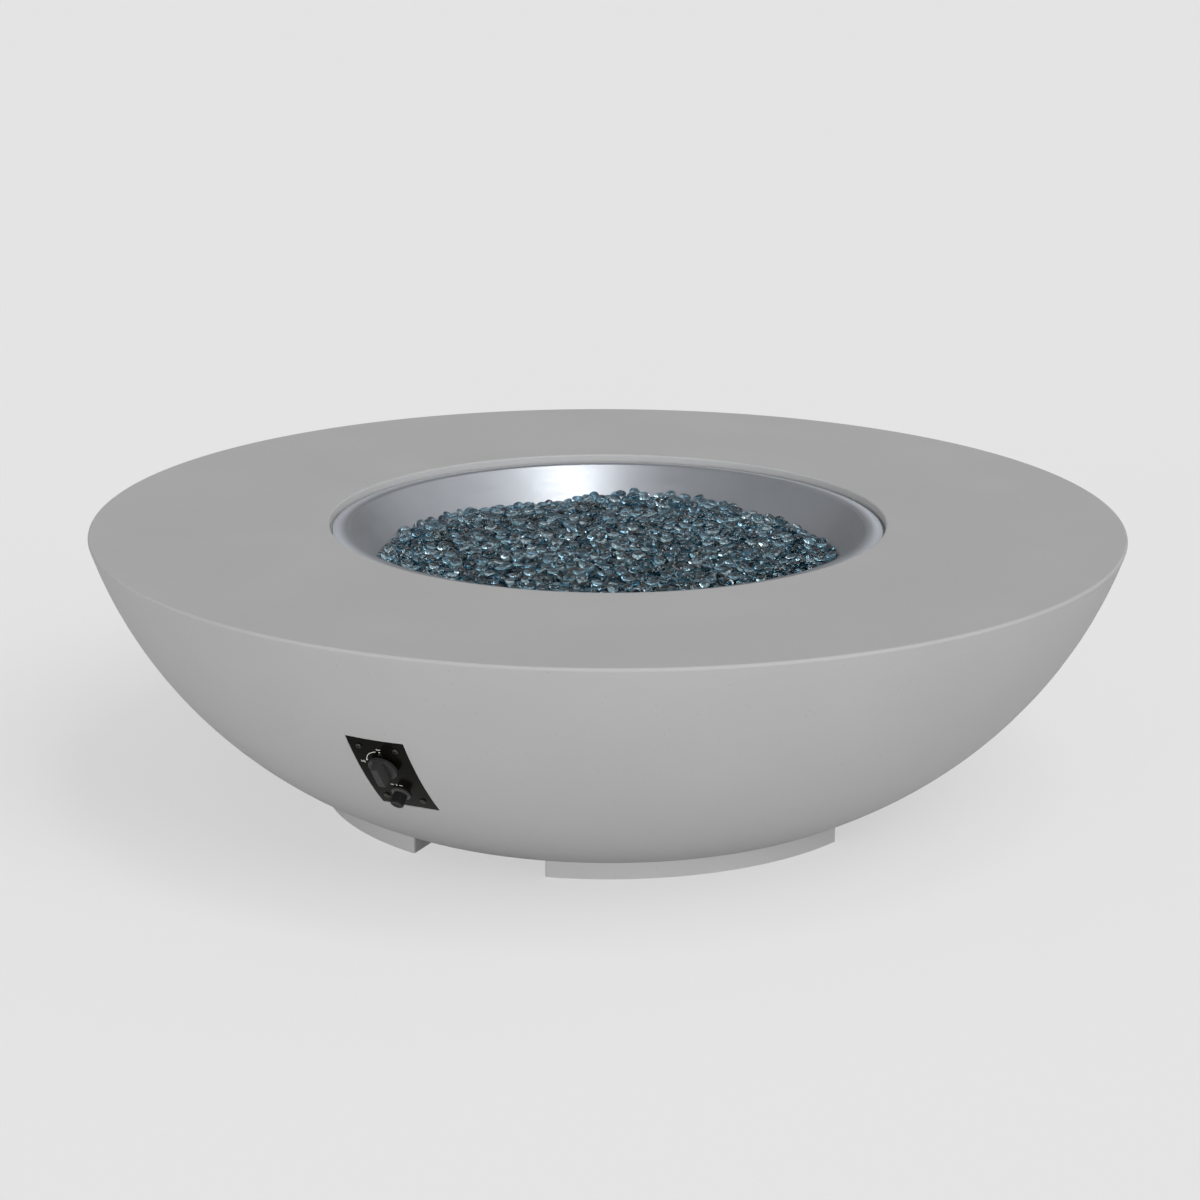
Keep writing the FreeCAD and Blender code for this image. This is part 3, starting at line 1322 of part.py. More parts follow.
def sensors():
    """Spark electrode in its ceramic, and the thermocouple's probe."""
    insulator = turned("spark_insulator", [
        ("0", "sensor_end"), ("insulator_dia/2", "sensor_end"), ("insulator_dia/2", "pilot_shelf_top"),
        ("insulator_collar_dia/2", "pilot_shelf_top"),
        ("insulator_collar_dia/2", "pilot_shelf_top + insulator_collar_height"),
        ("insulator_dia/2", "pilot_shelf_top + insulator_collar_height"),
        ("insulator_dia/2", "insulator_top"), ("electrode_dia/2 + fit_gap", "insulator_top"),
        ("electrode_dia/2 + fit_gap", "insulator_top - electrode_grip"),
        ("0", "insulator_top - electrode_grip"),
    ])
    place(insulator, "-pilot_spread/2", "-pilot_reach")
    keep(insulator, "spark_insulator")
    tip = turned("spark_electrode", [
        ("0", "insulator_top - electrode_grip"), ("electrode_dia/2", "insulator_top - electrode_grip"),
        ("electrode_dia/2", "electrode_top - electrode_dia/2"), ("electrode_dia/4", "electrode_top"),
        ("0", "electrode_top"),
    ])
    place(tip, "-pilot_spread/2", "-pilot_reach")
    keep(tip, "spark_electrode")
    probe = turned("thermocouple_probe", [
        ("0", "sensor_end"), ("probe_dia/2", "sensor_end"), ("probe_dia/2", "pilot_shelf_top"),
        ("probe_collar_dia/2", "pilot_shelf_top"),
        ("probe_collar_dia/2", "pilot_shelf_top + insulator_collar_height"),
        ("probe_dia/2", "pilot_shelf_top + insulator_collar_height"),
        ("probe_dia/2", "probe_top - probe_dia/2"), ("probe_dia/4", "probe_top"), ("0", "probe_top"),
    ])
    place(probe, "pilot_spread/2", "-pilot_reach")
    keep(probe, "thermocouple_probe")


def flame_cage():
    """Slotted cover that keeps the glass off the pilot assembly."""
    body = new_body("flame_cage")
    middle = "-(cage_front + cage_back)/2"
    outside = new_sketch(body, "XY_Plane", "pan_floor_z")
    add_rectangle(outside, "cage_width", "cage_back - cage_front", "0", middle)
    pad(body, outside, "cage_height")
    inside = new_sketch(body, "XY_Plane", "pan_floor_z")
    add_rectangle(inside, "cage_width - 2*cage_sheet", "cage_back - cage_front - 2*cage_sheet", "0", middle)
    pocket(body, inside, "cage_height - cage_sheet", reverse=True)
    slots = new_sketch(body, "XZ_Plane")
    slot_height = "cage_height*cage_slot_share"
    for step in range(-2, 3):
        add_rectangle(slots, "cage_slot_width", slot_height,
                      f"{step}*cage_slot_pitch", "(pan_floor_z + cage_top)/2")
    pocket(body, slots, "2*cage_back", reverse=True)
    top_slots = new_sketch(body, "XY_Plane", "cage_top")
    for step in range(-2, 3):
        add_rectangle(top_slots, "cage_slot_width", "(cage_back - cage_front)*cage_slot_share",
                      f"{step}*cage_slot_pitch", middle)
    pocket(body, top_slots, "2*cage_sheet")
    keep(body, "flame_cage")


# ---------------------------------------------------------------- lines and leads

def route_path(points):
    """Join points by straight runs with the widest tangent arcs that both runs leave room for."""
    edges, radii = [], []
    last = points[0]
    for before, corner, after in zip(points, points[1:], points[2:]):
        inward, outward = before - corner, after - corner
        half_turn = (math.pi - inward.getAngle(outward)) / 2
        run = min(inward.Length, outward.Length)
        radii.append(ARC_SHARE * run / math.tan(half_turn))
        start = corner + inward.normalize() * ARC_SHARE * run
        end = corner + outward.normalize() * ARC_SHARE * run
        sagitta_line = (inward + outward).normalize()
        to_middle = radii[-1] / math.cos(half_turn) - radii[-1]
        edges.append(Part.LineSegment(last, start).toShape())
        edges.append(Part.Arc(start, corner + sagitta_line * to_middle, end).toShape())
        last = end
    edges.append(Part.LineSegment(last, points[-1]).toShape())
    return Part.Wire(edges), radii


def lead(name, points, diameter):
    """Make a round line along a route, and check its volume against section times length."""
    path, radii = route_path(points)
    section = Part.Wire(Part.Circle(points[0], points[1] - points[0], diameter / 2).toShape())
    solid = path.makePipeShell([section], True, True)
    expected = math.pi * diameter ** 2 / 4 * path.Length
    if abs(solid.Volume - expected) > 0.01 * expected:
        raise RuntimeError(f"{name}: volume {solid.Volume:.0f}, expected {expected:.0f}")
    item = doc.addObject("Part::Feature", name)
    item.Shape = solid
    item.Placement = FreeCAD.Placement()
    print(f"{name}: {path.Length:.0f} mm long, tightest arc {min(radii):.0f} mm")
    keep(item, name)


def gas_lines():
    """Flexible gas lines: valve to mixer, and inlet to valve, with their flare nuts."""
    line = number("line_dia")
    outlet = panel_point("knob_down", "outlet_depth", "port_reach")
    inlet = panel_point("knob_down", "inlet_depth", "-port_reach")
    spud = V(0, 0, number("orifice_tip_z"))
    x, y = inlet_point()
    bulkhead = V(number(x), number(y), number("inlet_top_z"))
    lead("flex_line", [
        outlet, outlet + V(72, 0, 0), outlet + V(136, 46, -4), outlet + V(152, 126, -14),
        outlet + V(134, 212, -42), V(124, -318, 160), V(82, -232, 104), V(36, -136, 74),
        spud + V(8, -66, -116), spud + V(0, -16, -88), spud + V(0, 0, -42), spud,
    ], line)
    lead("supply_line", [
        inlet, inlet + V(-72, 0, 0), inlet + V(-136, 46, 0), inlet + V(-152, 126, -6),
        V(-172, -412, 254), V(-142, -334, 252), bulkhead + V(-44, -104, 116), bulkhead + V(-20, -48, 100),
        bulkhead + V(0, 0, 58), bulkhead,
    ], line)
    nut = turned("flare_nut_blank", [
        ("flare_dia/2 + fit_gap", "-flare_length"), ("flare_dia/2 + fit_gap", "0"),
        ("line_dia/2 + fit_gap", "0"), ("line_dia/2 + fit_gap", "flare_nut_length - flare_length"),
        ("flare_key/2", "flare_nut_length - flare_length"), ("flare_key/2", "-flare_length"),
    ])
    angle = panel_angle("knob_down")

    def at_port(item, depth, across, bearing):
        y_text = f"-curve_centre_reach - (plate_r - {depth})*cos({angle})"
        z_text = f"curve_z - (plate_r - {depth})*sin({angle})"
        place(item, across, y_text, z_text, bearing, Y_AXIS)

    keep(copies("flare_nuts", nut, [
        lambda item: at_port(item, "outlet_depth", "port_reach", "90"),
        lambda item: at_port(item, "inlet_depth", "-port_reach", "-90"),
        lambda item: place(item, z="orifice_tip_z", turn="180", axis=X_AXIS),
        lambda item: place(item, *inlet_point(), z="inlet_top_z"),
    ]), "flare_nuts")


def leads():
    """Spark lead from the igniter, thermocouple lead from the valve's magnet unit."""
    igniter_tail = panel_point("igniter_down", "igniter_end")
    inward = panel_outwards("igniter_down") * -1
    spark = V(number("-pilot_spread/2"), number("-pilot_reach"), number("sensor_end"))
    lead("ignition_lead", [
        igniter_tail, igniter_tail + inward * 24, igniter_tail + V(-6, 58, 36), V(-14, -440, 270),
        V(-24, -352, 262), V(-30, -268, 254), V(-28, -206, 246), spark + V(-6, -34, -44),
        spark + V(0, 0, -26), spark,
    ], number("lead_dia"))
    magnet_tail = panel_point("knob_down", "magnet_end")
    inward = panel_outwards("knob_down") * -1
    probe = V(number("pilot_spread/2"), number("-pilot_reach"), number("sensor_end"))
    lead("thermocouple_lead", [
        magnet_tail, magnet_tail + inward * 30, magnet_tail + V(4, 70, 26), V(14, -432, 286),
        V(22, -346, 272), V(28, -262, 262), V(27, -204, 252), probe + V(5, -33, -42),
        probe + V(0, 0, -26), probe,
    ], number("thermocouple_lead_dia"))


# ---------------------------------------------------------------- whole object

def check_document():
    """Stop when any object failed, or any sub-part's shape is empty or invalid."""
    doc.recompute()
    for item in doc.Objects:
        if "Invalid" in item.State or "Error" in item.State:
            raise RuntimeError(f"{item.Label} failed: {item.State}")
    for item in SUBPARTS:
        if item.Shape.isNull() or not item.Shape.isValid() or not item.Shape.Solids:
            raise RuntimeError(f"{item.Label} has no valid solid")


bowl_shell()
feet()
foot_fasteners()
burner_pan()
rim_gasket()
burner()
glass_bed()
nipple_and_mixer()
orifice_fitting()
inlet_bracket()
inlet_fitting()
control_plate()
plate_fasteners()
valve_body()
valve_gland()
valve_plug()
coil_spring("stem_spring", "spring_coil_dia", "spring_wire", "spring_pitch",
            "-plug_spring_seat + spring_seat_gap", "-collar_bottom - spring_seat_gap", "knob_down")
valve_stem()
control_knob()
magnet_unit()
igniter()
igniter_button()
pilot_bracket()
pilot_screws()
sensors()
flame_cage()
gas_lines()
leads()
check_document()

os.makedirs("parts", exist_ok=True)
for subpart in SUBPARTS:
    subpart.Shape.exportStep(f"parts/{subpart.Label}.step")
print(f"{len(SUBPARTS)} sub-parts written")
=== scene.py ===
import json
import math

import bpy
import numpy as np
from mathutils import Matrix, Quaternion, Vector


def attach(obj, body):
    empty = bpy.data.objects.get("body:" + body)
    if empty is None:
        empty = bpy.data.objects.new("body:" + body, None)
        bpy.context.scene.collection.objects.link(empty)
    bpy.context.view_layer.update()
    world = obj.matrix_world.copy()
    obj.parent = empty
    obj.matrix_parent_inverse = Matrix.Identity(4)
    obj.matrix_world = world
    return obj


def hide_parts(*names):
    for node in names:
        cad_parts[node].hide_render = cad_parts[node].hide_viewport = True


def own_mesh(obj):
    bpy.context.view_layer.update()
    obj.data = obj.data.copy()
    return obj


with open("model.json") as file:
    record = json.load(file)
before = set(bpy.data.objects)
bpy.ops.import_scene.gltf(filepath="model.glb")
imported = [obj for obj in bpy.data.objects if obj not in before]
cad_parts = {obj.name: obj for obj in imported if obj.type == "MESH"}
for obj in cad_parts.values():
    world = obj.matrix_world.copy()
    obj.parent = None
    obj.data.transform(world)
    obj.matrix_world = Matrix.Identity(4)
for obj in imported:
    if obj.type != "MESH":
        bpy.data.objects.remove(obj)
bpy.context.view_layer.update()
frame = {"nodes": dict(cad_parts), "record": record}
NODES = frame["nodes"]


# ---------------------------------------------------------------- sizes of the solids

RIM_HEIGHT = 0.408
PAN_WALL_OFFSET = 0.0178        # the pan wall's radius is its height less this
PAN_CREASE_RADIUS = 0.384       # the wall inside, the flange outside
PAN_EDGE_RADIUS = 0.4065
BED_EDGE_HEIGHT = 0.3575        # top of the pebbles at the wall
BED_CROWN = 0.0115              # how much higher they lie in the middle
BED_EDGE_RADIUS = BED_EDGE_HEIGHT - PAN_WALL_OFFSET
CAGE_TOP = 0.361
CAGE_HALF_WIDTH = 0.032         # of the block that stands for the flame cage under the pebbles
CAGE_FRONT, CAGE_BACK = -0.184, -0.119
PLATE_CENTRE = Vector((0.0, -0.15109, 0.60340))     # of the arc that the plate follows
PLATE_RADIUS = 0.6404
PLATE_TOP_DROP = math.radians(31.4)                 # below the horizontal, at its top edge
KNOB_DOWN, IGNITER_DOWN = 0.0503, 0.1176            # along the plate from its top edge
KNOB_DROP = PLATE_TOP_DROP + KNOB_DOWN / PLATE_RADIUS
IGNITER_DROP = PLATE_TOP_DROP + IGNITER_DOWN / PLATE_RADIUS


# ---------------------------------------------------------------- choices for the picture

CAMERA_AZIMUTH, CAMERA_ELEVATION = 25.6, 14.2717    # degrees, from the middle of the rim
CAMERA_DISTANCE = 4.4508
CAMERA_AIM = 0.1403, -1.5785, -0.2011               # yaw, pitch and roll, degrees
CAMERA_LENS = 90.05
# painted highlight: the flange's colour is brightened towards its edge by this factor
PAINTED_FLANGE_HIGHLIGHT = 1.85              # imitates the bright band on the rolled edge in the photograph
FLANGE_HAZE = 0.08              # is added to the flange's roughness
BACKDROP_SHARE = 0.7            # of what the camera sees of the floor; the rest shows the shadow
BACKDROP_LEVEL, PAINT_LEVEL = 228, 236              # display levels of the floor's two colours
FLOOR_REACH, FLOOR_LEVEL = 60.0, -0.0002            # the floor lies just under the feet


def linear_level(level):
    """Return the linear value of a display level from 0 to 255."""
    share = level / 255
    return share / 12.92 if share <= 0.04045 else ((share + 0.055) / 1.055) ** 2.4


def color(red, green=None, blue=None):
    """Return a linear colour from display levels; one number alone is a grey."""
    green = red if green is None else green
    blue = red if blue is None else blue
    return (linear_level(red), linear_level(green), linear_level(blue), 1.0)


def scaled(rgba, factor):
    """Return a colour times a factor, with no part of it above 1."""
    return tuple(min(1.0, part * factor) for part in rgba[:3]) + (1.0,)


# ---------------------------------------------------------------- camera

def make_camera():
    """Stand the camera at the front right of the pit, about a metre above its rim."""
    azimuth, elevation = math.radians(CAMERA_AZIMUTH), math.radians(CAMERA_ELEVATION)
    away = Vector((math.sin(azimuth) * math.cos(elevation),
                   -math.cos(azimuth) * math.cos(elevation), math.sin(elevation)))
    forward = -away
    right = Vector((math.cos(azimuth), math.sin(azimuth), 0.0))
    up = right.cross(forward)
    yaw, pitch, roll = (math.radians(angle) for angle in CAMERA_AIM)
    forward, right = (Quaternion(up, yaw) @ v for v in (forward, right))
    forward, up = (Quaternion(right, pitch) @ v for v in (forward, up))
    right, up = (Quaternion(forward, roll) @ v for v in (right, up))
    data = bpy.data.cameras.new("camera")
    data.sensor_width = 36.0
    data.lens = CAMERA_LENS
    data.clip_end = 200.0
    camera = bpy.data.objects.new("camera", data)
    bpy.context.scene.collection.objects.link(camera)
    camera.rotation_mode = "QUATERNION"
    rows = [(right[i], up[i], -forward[i]) for i in range(3)]
    camera.rotation_quaternion = Matrix(rows).to_quaternion()
    camera.location = Vector((0, 0, RIM_HEIGHT)) + CAMERA_DISTANCE * away
    bpy.context.scene.camera = camera


# ---------------------------------------------------------------- materials

class Finish:
    """A procedural material: a Principled shader and the nodes that feed it.

    A socket that a texture feeds keeps its plain value beneath the link.
    """

    def __init__(self, name, base, roughness, metallic=0.0, **sockets):
        self.material = bpy.data.materials.new(name)
        self.material.use_nodes = True
        self.tree = self.material.node_tree
        self.shader = self.tree.nodes["Principled BSDF"]
        self.set("Base Color", base)
        self.set("Roughness", roughness)
        self.set("Metallic", metallic)
        for socket, value in sockets.items():
            self.set(socket.replace("_", " "), value)
        self.coords = self.node("ShaderNodeTexCoord").outputs["Object"]

    def set(self, socket, value):
        self.shader.inputs[socket].default_value = value

    def node(self, kind, inputs=(), **settings):
        item = self.tree.nodes.new(kind)
        for key, value in settings.items():
            setattr(item, key, value)
        for key, value in dict(inputs).items():
            if isinstance(value, bpy.types.NodeSocket):
                self.tree.links.new(value, item.inputs[key])
            else:
                item.inputs[key].default_value = value
        return item

    def link(self, output, socket):
        self.tree.links.new(output, self.shader.inputs[socket])

    def noise(self, scale, detail=3.0, vector=None):
        return self.node("ShaderNodeTexNoise", {
            "Vector": vector or self.coords, "Scale": scale, "Detail": detail}).outputs["Fac"]

    def cells(self, scale):
        """Return the distance within each cell, and a grey that differs from cell to cell."""
        item = self.node("ShaderNodeTexVoronoi", {"Vector": self.coords, "Scale": scale})
        shade = self.node("ShaderNodeSeparateColor", {0: item.outputs["Color"]}).outputs[0]
        return item.outputs["Distance"], shade

    def math(self, operation, first, second=0.0):
        return self.node("ShaderNodeMath", {0: first, 1: second}, operation=operation).outputs[0]

    def levels(self, value, low, high, to_low=0.0, to_high=1.0):
        """Map a range of a value onto another, clamped and eased."""
        return self.node("ShaderNodeMapRange", {
            "Value": value, "From Min": low, "From Max": high, "To Min": to_low, "To Max": to_high,
        }, interpolation_type="SMOOTHSTEP").outputs["Result"]

    def spread(self, noise, to_low=0.0, to_high=1.0):
        """Map the middle of a noise's range, where most of it lies, onto another range."""
        return self.levels(noise, 0.3, 0.7, to_low, to_high)

    def mixed(self, share, first, second):
        item = self.node("ShaderNodeMix", data_type="RGBA")
        for index, value in ((0, share), (6, first), (7, second)):
            if isinstance(value, bpy.types.NodeSocket):
                self.tree.links.new(value, item.inputs[index])
            else:
                item.inputs[index].default_value = value
        return item.outputs[2]

    def shaded(self, share, base, dark, light):
        """Return the base colour scaled by dark where the share is 0 and by light where it is 1."""
        return self.mixed(share, scaled(base, dark), scaled(base, light))

    def bump(self, height, distance, strength=1.0):
        item = self.node("ShaderNodeBump", {
            "Height": height, "Distance": distance, "Strength": strength})
        self.link(item.outputs["Normal"], "Normal")

    def split(self):
        """Return the three object coordinates."""
        parts = self.node("ShaderNodeSeparateXYZ", {0: self.coords})
        return [parts.outputs[axis] for axis in "XYZ"]

    def joined(self, x, y, z):
        return self.node("ShaderNodeCombineXYZ", {0: x, 1: y, 2: z}).outputs[0]

    def reach(self):
        """Return the distance from the object's axis."""
        x, y, _ = self.split()
        return self.math("SQRT", self.math("ADD", self.math("MULTIPLY", x, x),
                                           self.math("MULTIPLY", y, y)))

    def around_axis(self, turns, outwards, upwards):
        """Return coordinates that run round, out from and up the object's axis."""
        x, y, z = self.split()
        return self.joined(self.math("MULTIPLY", self.math("ARCTAN2", y, x), turns),
                           self.math("MULTIPLY", self.reach(), outwards),
                           self.math("MULTIPLY", z, upwards))


def stone(name, base):
    """Cast stone: faint cloudy mottling, fine sand grain and a few pinholes, darkened with painted
    shade.
    """
    finish = Finish(name, base, 0.82, Specular_IOR_Level=0.35)
    cloud = finish.noise(5.0, 5.0)
    grain = finish.noise(900.0, 2.0)
    clouded = finish.shaded(finish.spread(cloud), base, 0.97, 1.025)
    grained = finish.shaded(finish.levels(grain, 0.25, 0.75), base, 0.955, 1.04)
    tint = finish.mixed(0.4, clouded, grained)
    pinholes = finish.levels(finish.cells(70.0)[0], 0.035, 0.075)
    # painted shade: the pinholes are darkened where shade would fall in them
    finish.link(finish.mixed(pinholes, scaled(base, 0.72), tint), "Base Color")
    finish.link(finish.spread(cloud, 0.78, 0.88), "Roughness")
    height = finish.math("ADD", finish.math("MULTIPLY", grain, 0.35), pinholes)
    finish.bump(height, 0.00035, 0.35)
    return finish.material


def spun_steel(name, base):
    """Satin stainless sheet with fine turning lines; its flange has a painted highlight, brighter
    towards the edge.
    """
    finish = Finish(name, base, 0.34, 1.0, Anisotropic=0.55)
    round_lines = finish.around_axis(turns=6.0, outwards=1600.0, upwards=1600.0)
    lines = finish.noise(1.0, 4.0, round_lines)
    haze = finish.spread(finish.noise(9.0, 3.0))
    flange = finish.levels(finish.reach(), PAN_CREASE_RADIUS, PAN_EDGE_RADIUS - 0.006)
    sheet = finish.shaded(haze, base, 0.95, 1.05)
    # painted highlight: the flange's base colour grows brighter towards its edge
    finish.link(finish.mixed(flange, sheet, scaled(base, PAINTED_FLANGE_HIGHLIGHT)), "Base Color")
    satin = finish.spread(lines, 0.29, 0.39)
    finish.link(finish.math("ADD", satin, finish.math("MULTIPLY", flange, FLANGE_HAZE)), "Roughness")
    finish.bump(lines, 0.00004, 0.5)
    turned = finish.node("ShaderNodeTangent", direction_type="RADIAL", axis="Z")
    finish.link(turned.outputs[0], "Tangent")
    return finish.material


def metal(name, base, roughness, grain=500.0, depth=0.00003, patches=40.0, contrast=0.08):
    """Plain metal with cloudy tarnish and a fine surface grain."""
    finish = Finish(name, base, roughness, 1.0)
    cloud = finish.noise(patches, 4.0)
    fine = finish.noise(grain, 3.0)
    finish.link(finish.shaded(finish.spread(cloud), base, 1 - contrast, 1 + contrast), "Base Color")
    finish.link(finish.spread(fine, roughness * 0.8, roughness * 1.2), "Roughness")
    finish.bump(fine, depth, 0.6)
    return finish.material


def galvanised(name):
    """Zinc-dipped sheet: flat crystals of slightly different greys."""
    base = color(176, 178, 180)
    finish = Finish(name, base, 0.42, 1.0)
    _, shade = finish.cells(130.0)
    finish.link(finish.shaded(shade, base, 0.8, 1.12), "Base Color")
    finish.link(finish.levels(shade, 0.0, 1.0, 0.34, 0.5), "Roughness")
    finish.bump(finish.noise(700.0), 0.00002, 0.5)
    return finish.material


def plastic(name, base, roughness, grain=1100.0, depth=0.00004, gloss=0.5):
    """Moulded plastic with a fine spark-eroded texture."""
    finish = Finish(name, base, roughness, Specular_IOR_Level=gloss)
    fine = finish.noise(grain, 2.0)
    cloud = finish.noise(60.0, 3.0)
    finish.link(finish.shaded(finish.spread(cloud), base, 0.93, 1.07), "Base Color")
    finish.link(finish.spread(fine, roughness - 0.06, roughness + 0.06), "Roughness")
    finish.bump(fine, depth, 0.7)
    return finish.material


def gloss_coat(name):
    """Black coat with a soft gloss, a faint orange-peel skin and thin olive clouds."""
    base = color(13, 12, 9)
    finish = Finish(name, base, 0.16, Specular_IOR_Level=0.024)
    cloud = finish.noise(25.0, 3.0)
    finish.link(finish.shaded(finish.spread(cloud), base, 0.8, 1.3), "Base Color")
    peel = finish.noise(450.0, 2.0)
    finish.link(finish.spread(peel, 0.14, 0.22), "Roughness")
    finish.bump(peel, 0.00002, 0.35)
    return finish.material


def woven_fibre(name):
    """Ceramic fibre tape: crossed threads."""
    base = color(222, 219, 208)
    finish = Finish(name, base, 0.95, Specular_IOR_Level=0.2)
    around = finish.around_axis(turns=0.4, outwards=1.0, upwards=1.0)
    warp = finish.node("ShaderNodeTexWave", {"Vector": around, "Scale": 320.0}).outputs["Fac"]
    weft, _ = finish.cells(700.0)
    threads = finish.math("MULTIPLY", warp, weft)
    finish.link(finish.mixed(threads, base, scaled(base, 0.75)), "Base Color")
    finish.bump(threads, 0.0002, 0.8)
    return finish.material


def pebble_glass(name):
    """Clear blue-green glass, a slightly different tint in each pebble."""
    finish = Finish(name, color(168, 190, 198), 0.01, IOR=1.5, Transmission_Weight=1.0)
    chance = finish.node("ShaderNodeNewGeometry").outputs["Random Per Island"]
    ramp = finish.node("ShaderNodeValToRGB", {0: chance})
    stops = ramp.color_ramp.elements
    stops[0].position, stops[0].color = 0.0, color(112, 151, 169)
    stops[1].position, stops[1].color = 1.0, color(178, 199, 207)
    middle = stops.new(0.5)
    middle.color = color(138, 173, 188)
    finish.link(ramp.outputs[0], "Base Color")
    ripple = finish.noise(110.0, 2.0)
    finish.bump(ripple, 0.0004, 0.03)
    return finish.material


def gravel(name):
    """Dark crushed stone that fills the pan under the glass."""
    base = color(60, 54, 51)
    finish = Finish(name, base, 0.9)
    relief, shade = finish.cells(140.0)
    finish.link(finish.mixed(shade, color(34, 36, 38), color(92, 75, 66)), "Base Color")
    finish.bump(relief, 0.003, 0.8)
    return finish.material


def glazed(name):
    """White ceramic under a clear glaze."""
    finish = Finish(name, color(232, 229, 218), 0.22, Coat_Weight=0.4, Coat_Roughness=0.08)
    cloud = finish.noise(160.0, 3.0)
    finish.link(finish.mixed(finish.levels(cloud, 0.35, 0.65), color(224, 220, 208),
                             color(238, 236, 228)), "Base Color")
    finish.bump(cloud, 0.00004, 0.4)
    return finish.material


def make_finishes():
    """Return the finish of each material slot."""
    return {
        "bowl_stone": stone("cast_stone", color(168)),
        # painted light: the feet are the bowl's stone written lighter, for the light they lack under
        # the bowl
        "foot_stone": stone("foot_stone", color(187)),
        "pan_steel": spun_steel("spun_steel", color(168, 172, 178)),
        "burner_steel": metal("heat_tinted_steel", color(150, 142, 132), 0.4, contrast=0.14),
        "bolt_steel": metal("zinc_plated_steel", color(186, 187, 188), 0.32),
        "screw_steel": metal("blackened_screw_steel", color(66, 65, 62), 0.4),
        "bracket_steel": galvanised("galvanised_sheet"),
        "gasket_fibre": woven_fibre("ceramic_fibre_tape"),
        "bed_glass": pebble_glass("pebble_glass"),
        "brass": metal("turned_brass", color(208, 176, 106), 0.28, patches=70.0),
        "valve_aluminium": metal("cast_aluminium", color(178, 179, 180), 0.5, grain=700.0,
                                 depth=0.0001),
        "plate_black": gloss_coat("black_gloss_coat"),
        "knob_black": plastic("knob_plastic", color(44, 44, 45), 0.46, gloss=0.22),
        "igniter_black": plastic("igniter_plastic", color(58, 58, 58), 0.42, gloss=0.3),
        "spring_steel": metal("spring_wire", color(200, 200, 202), 0.2),
        "battery_skin": plastic("battery_sleeve", color(122, 126, 132), 0.35),
        "insulator_ceramic": glazed("white_glaze"),
        "copper": metal("copper_tube", color(206, 134, 100), 0.3, patches=90.0),
        "lead_rubber": plastic("silicone_sleeve", color(214, 212, 204), 0.6, grain=600.0),
        "line_yellow": plastic("yellow_line_coat", color(234, 190, 40), 0.38, grain=400.0,
                               depth=0.0001),
    }


def dress_nodes(finishes):
    """Give each carried-over node the finish of its material slot; the igniter's cap gets a darker copy
    of its plastic, painted shade.
    """
    slot_of = {part["node"]: part["material_slot"] for part in frame["record"]["subparts"]}
    for name, item in NODES.items():
        item.data.materials.clear()
        item.data.materials.append(finishes[slot_of[name]])
    # painted shade: the cap is a darker copy of the igniter plastic, against the floor's light on its
    # end
    painted_shade_cap = plastic("igniter_cap_painted_shade", color(32, 32, 33), 0.5, gloss=0.1)
    NODES["igniter_button"].data.materials[0] = painted_shade_cap


# ---------------------------------------------------------------- making pieces

def add_piece(name, vertices, faces, finish, slot, body="bowl", smooth=True):
    """Make a mesh piece that rides a body, and return it."""
    mesh = bpy.data.meshes.new(name)
    mesh.from_pydata([tuple(v) for v in vertices], [], [tuple(f) for f in faces])
    mesh.update()
    mesh.polygons.foreach_set("use_smooth", [smooth] * len(mesh.polygons))
    mesh.materials.append(finish)
    piece = bpy.data.objects.new(name, mesh)
    bpy.context.scene.collection.objects.link(piece)
    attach(piece, body)
    return piece


def on_panel(drop, across, up, out):
    """Return a place on the control plate, measured across, up and out from an axis that crosses it."""
    angle = drop - up / PLATE_RADIUS
    reach = PLATE_RADIUS + out
    return PLATE_CENTRE + Vector((across, -reach * math.cos(angle), -reach * math.sin(angle)))


def on_axis(drop, point):
    """Return the place of a point given about an axis that stands on the plate."""
    outward = Vector((0.0, -math.cos(drop), -math.sin(drop)))
    upward = Vector((0.0, -math.sin(drop), math.cos(drop)))
    start = PLATE_CENTRE + PLATE_RADIUS * outward
    return start + point.x * Vector((1, 0, 0)) + point.y * upward + point.z * outward


# ---------------------------------------------------------------- glass pebbles

def ball(rings, sides):
    """Return the points and faces of a unit ball with its poles on Z."""
    points = [(0.0, 0.0, -1.0)]
    for ring in range(1, rings):
        tilt = math.pi * ring / rings
        for side in range(sides):
            turn = 2 * math.pi * (side + 0.5 * (ring % 2)) / sides
            points.append((math.sin(tilt) * math.cos(turn), math.sin(tilt) * math.sin(turn),
                           -math.cos(tilt)))
    points.append((0.0, 0.0, 1.0))
    top = len(points) - 1
    faces = []
    for side in range(sides):
        after = (side + 1) % sides
        faces.append((0, 1 + after, 1 + side))
        faces.append((top, top - sides + side, top - sides + after))
        for ring in range(rings - 2):
            low, high = 1 + ring * sides, 1 + (ring + 1) * sides
            faces.append((low + side, low + after, high + side))
            faces.append((low + after, high + after, high + side))
    return np.array(points), np.array(faces)


def pebble_forms(rng, points, count):
    """Return that many uneven copies of the ball, a little fuller above and below, and lumpy."""
    waves, height, pace, fullness = 4, 0.07, 2.2, 0.9
    forms = []
    for _ in range(count):
        lumps = np.ones(len(points))
        for _ in range(waves):
            lean = rng.normal(size=3)
            lean /= np.linalg.norm(lean)
            lumps += rng.uniform(-height, height) * np.cos(pace * (points @ lean) + rng.uniform(0, 6))
        full = np.sign(points[:, 2]) * np.abs(points[:, 2]) ** fullness
        forms.append(np.column_stack([points[:, 0] * lumps, points[:, 1] * lumps, full * lumps]))
    return forms


def random_turn(rng, tilt):
    """Return the matrix of a lean by tilt in a random direction, after a random spin."""
    spin, toward = rng.uniform(0, 2 * math.pi, 2)
    lean = Quaternion((math.cos(toward), math.sin(toward), 0.0), tilt)
    return np.array((lean @ Quaternion((0.0, 0.0, 1.0), spin)).to_matrix())


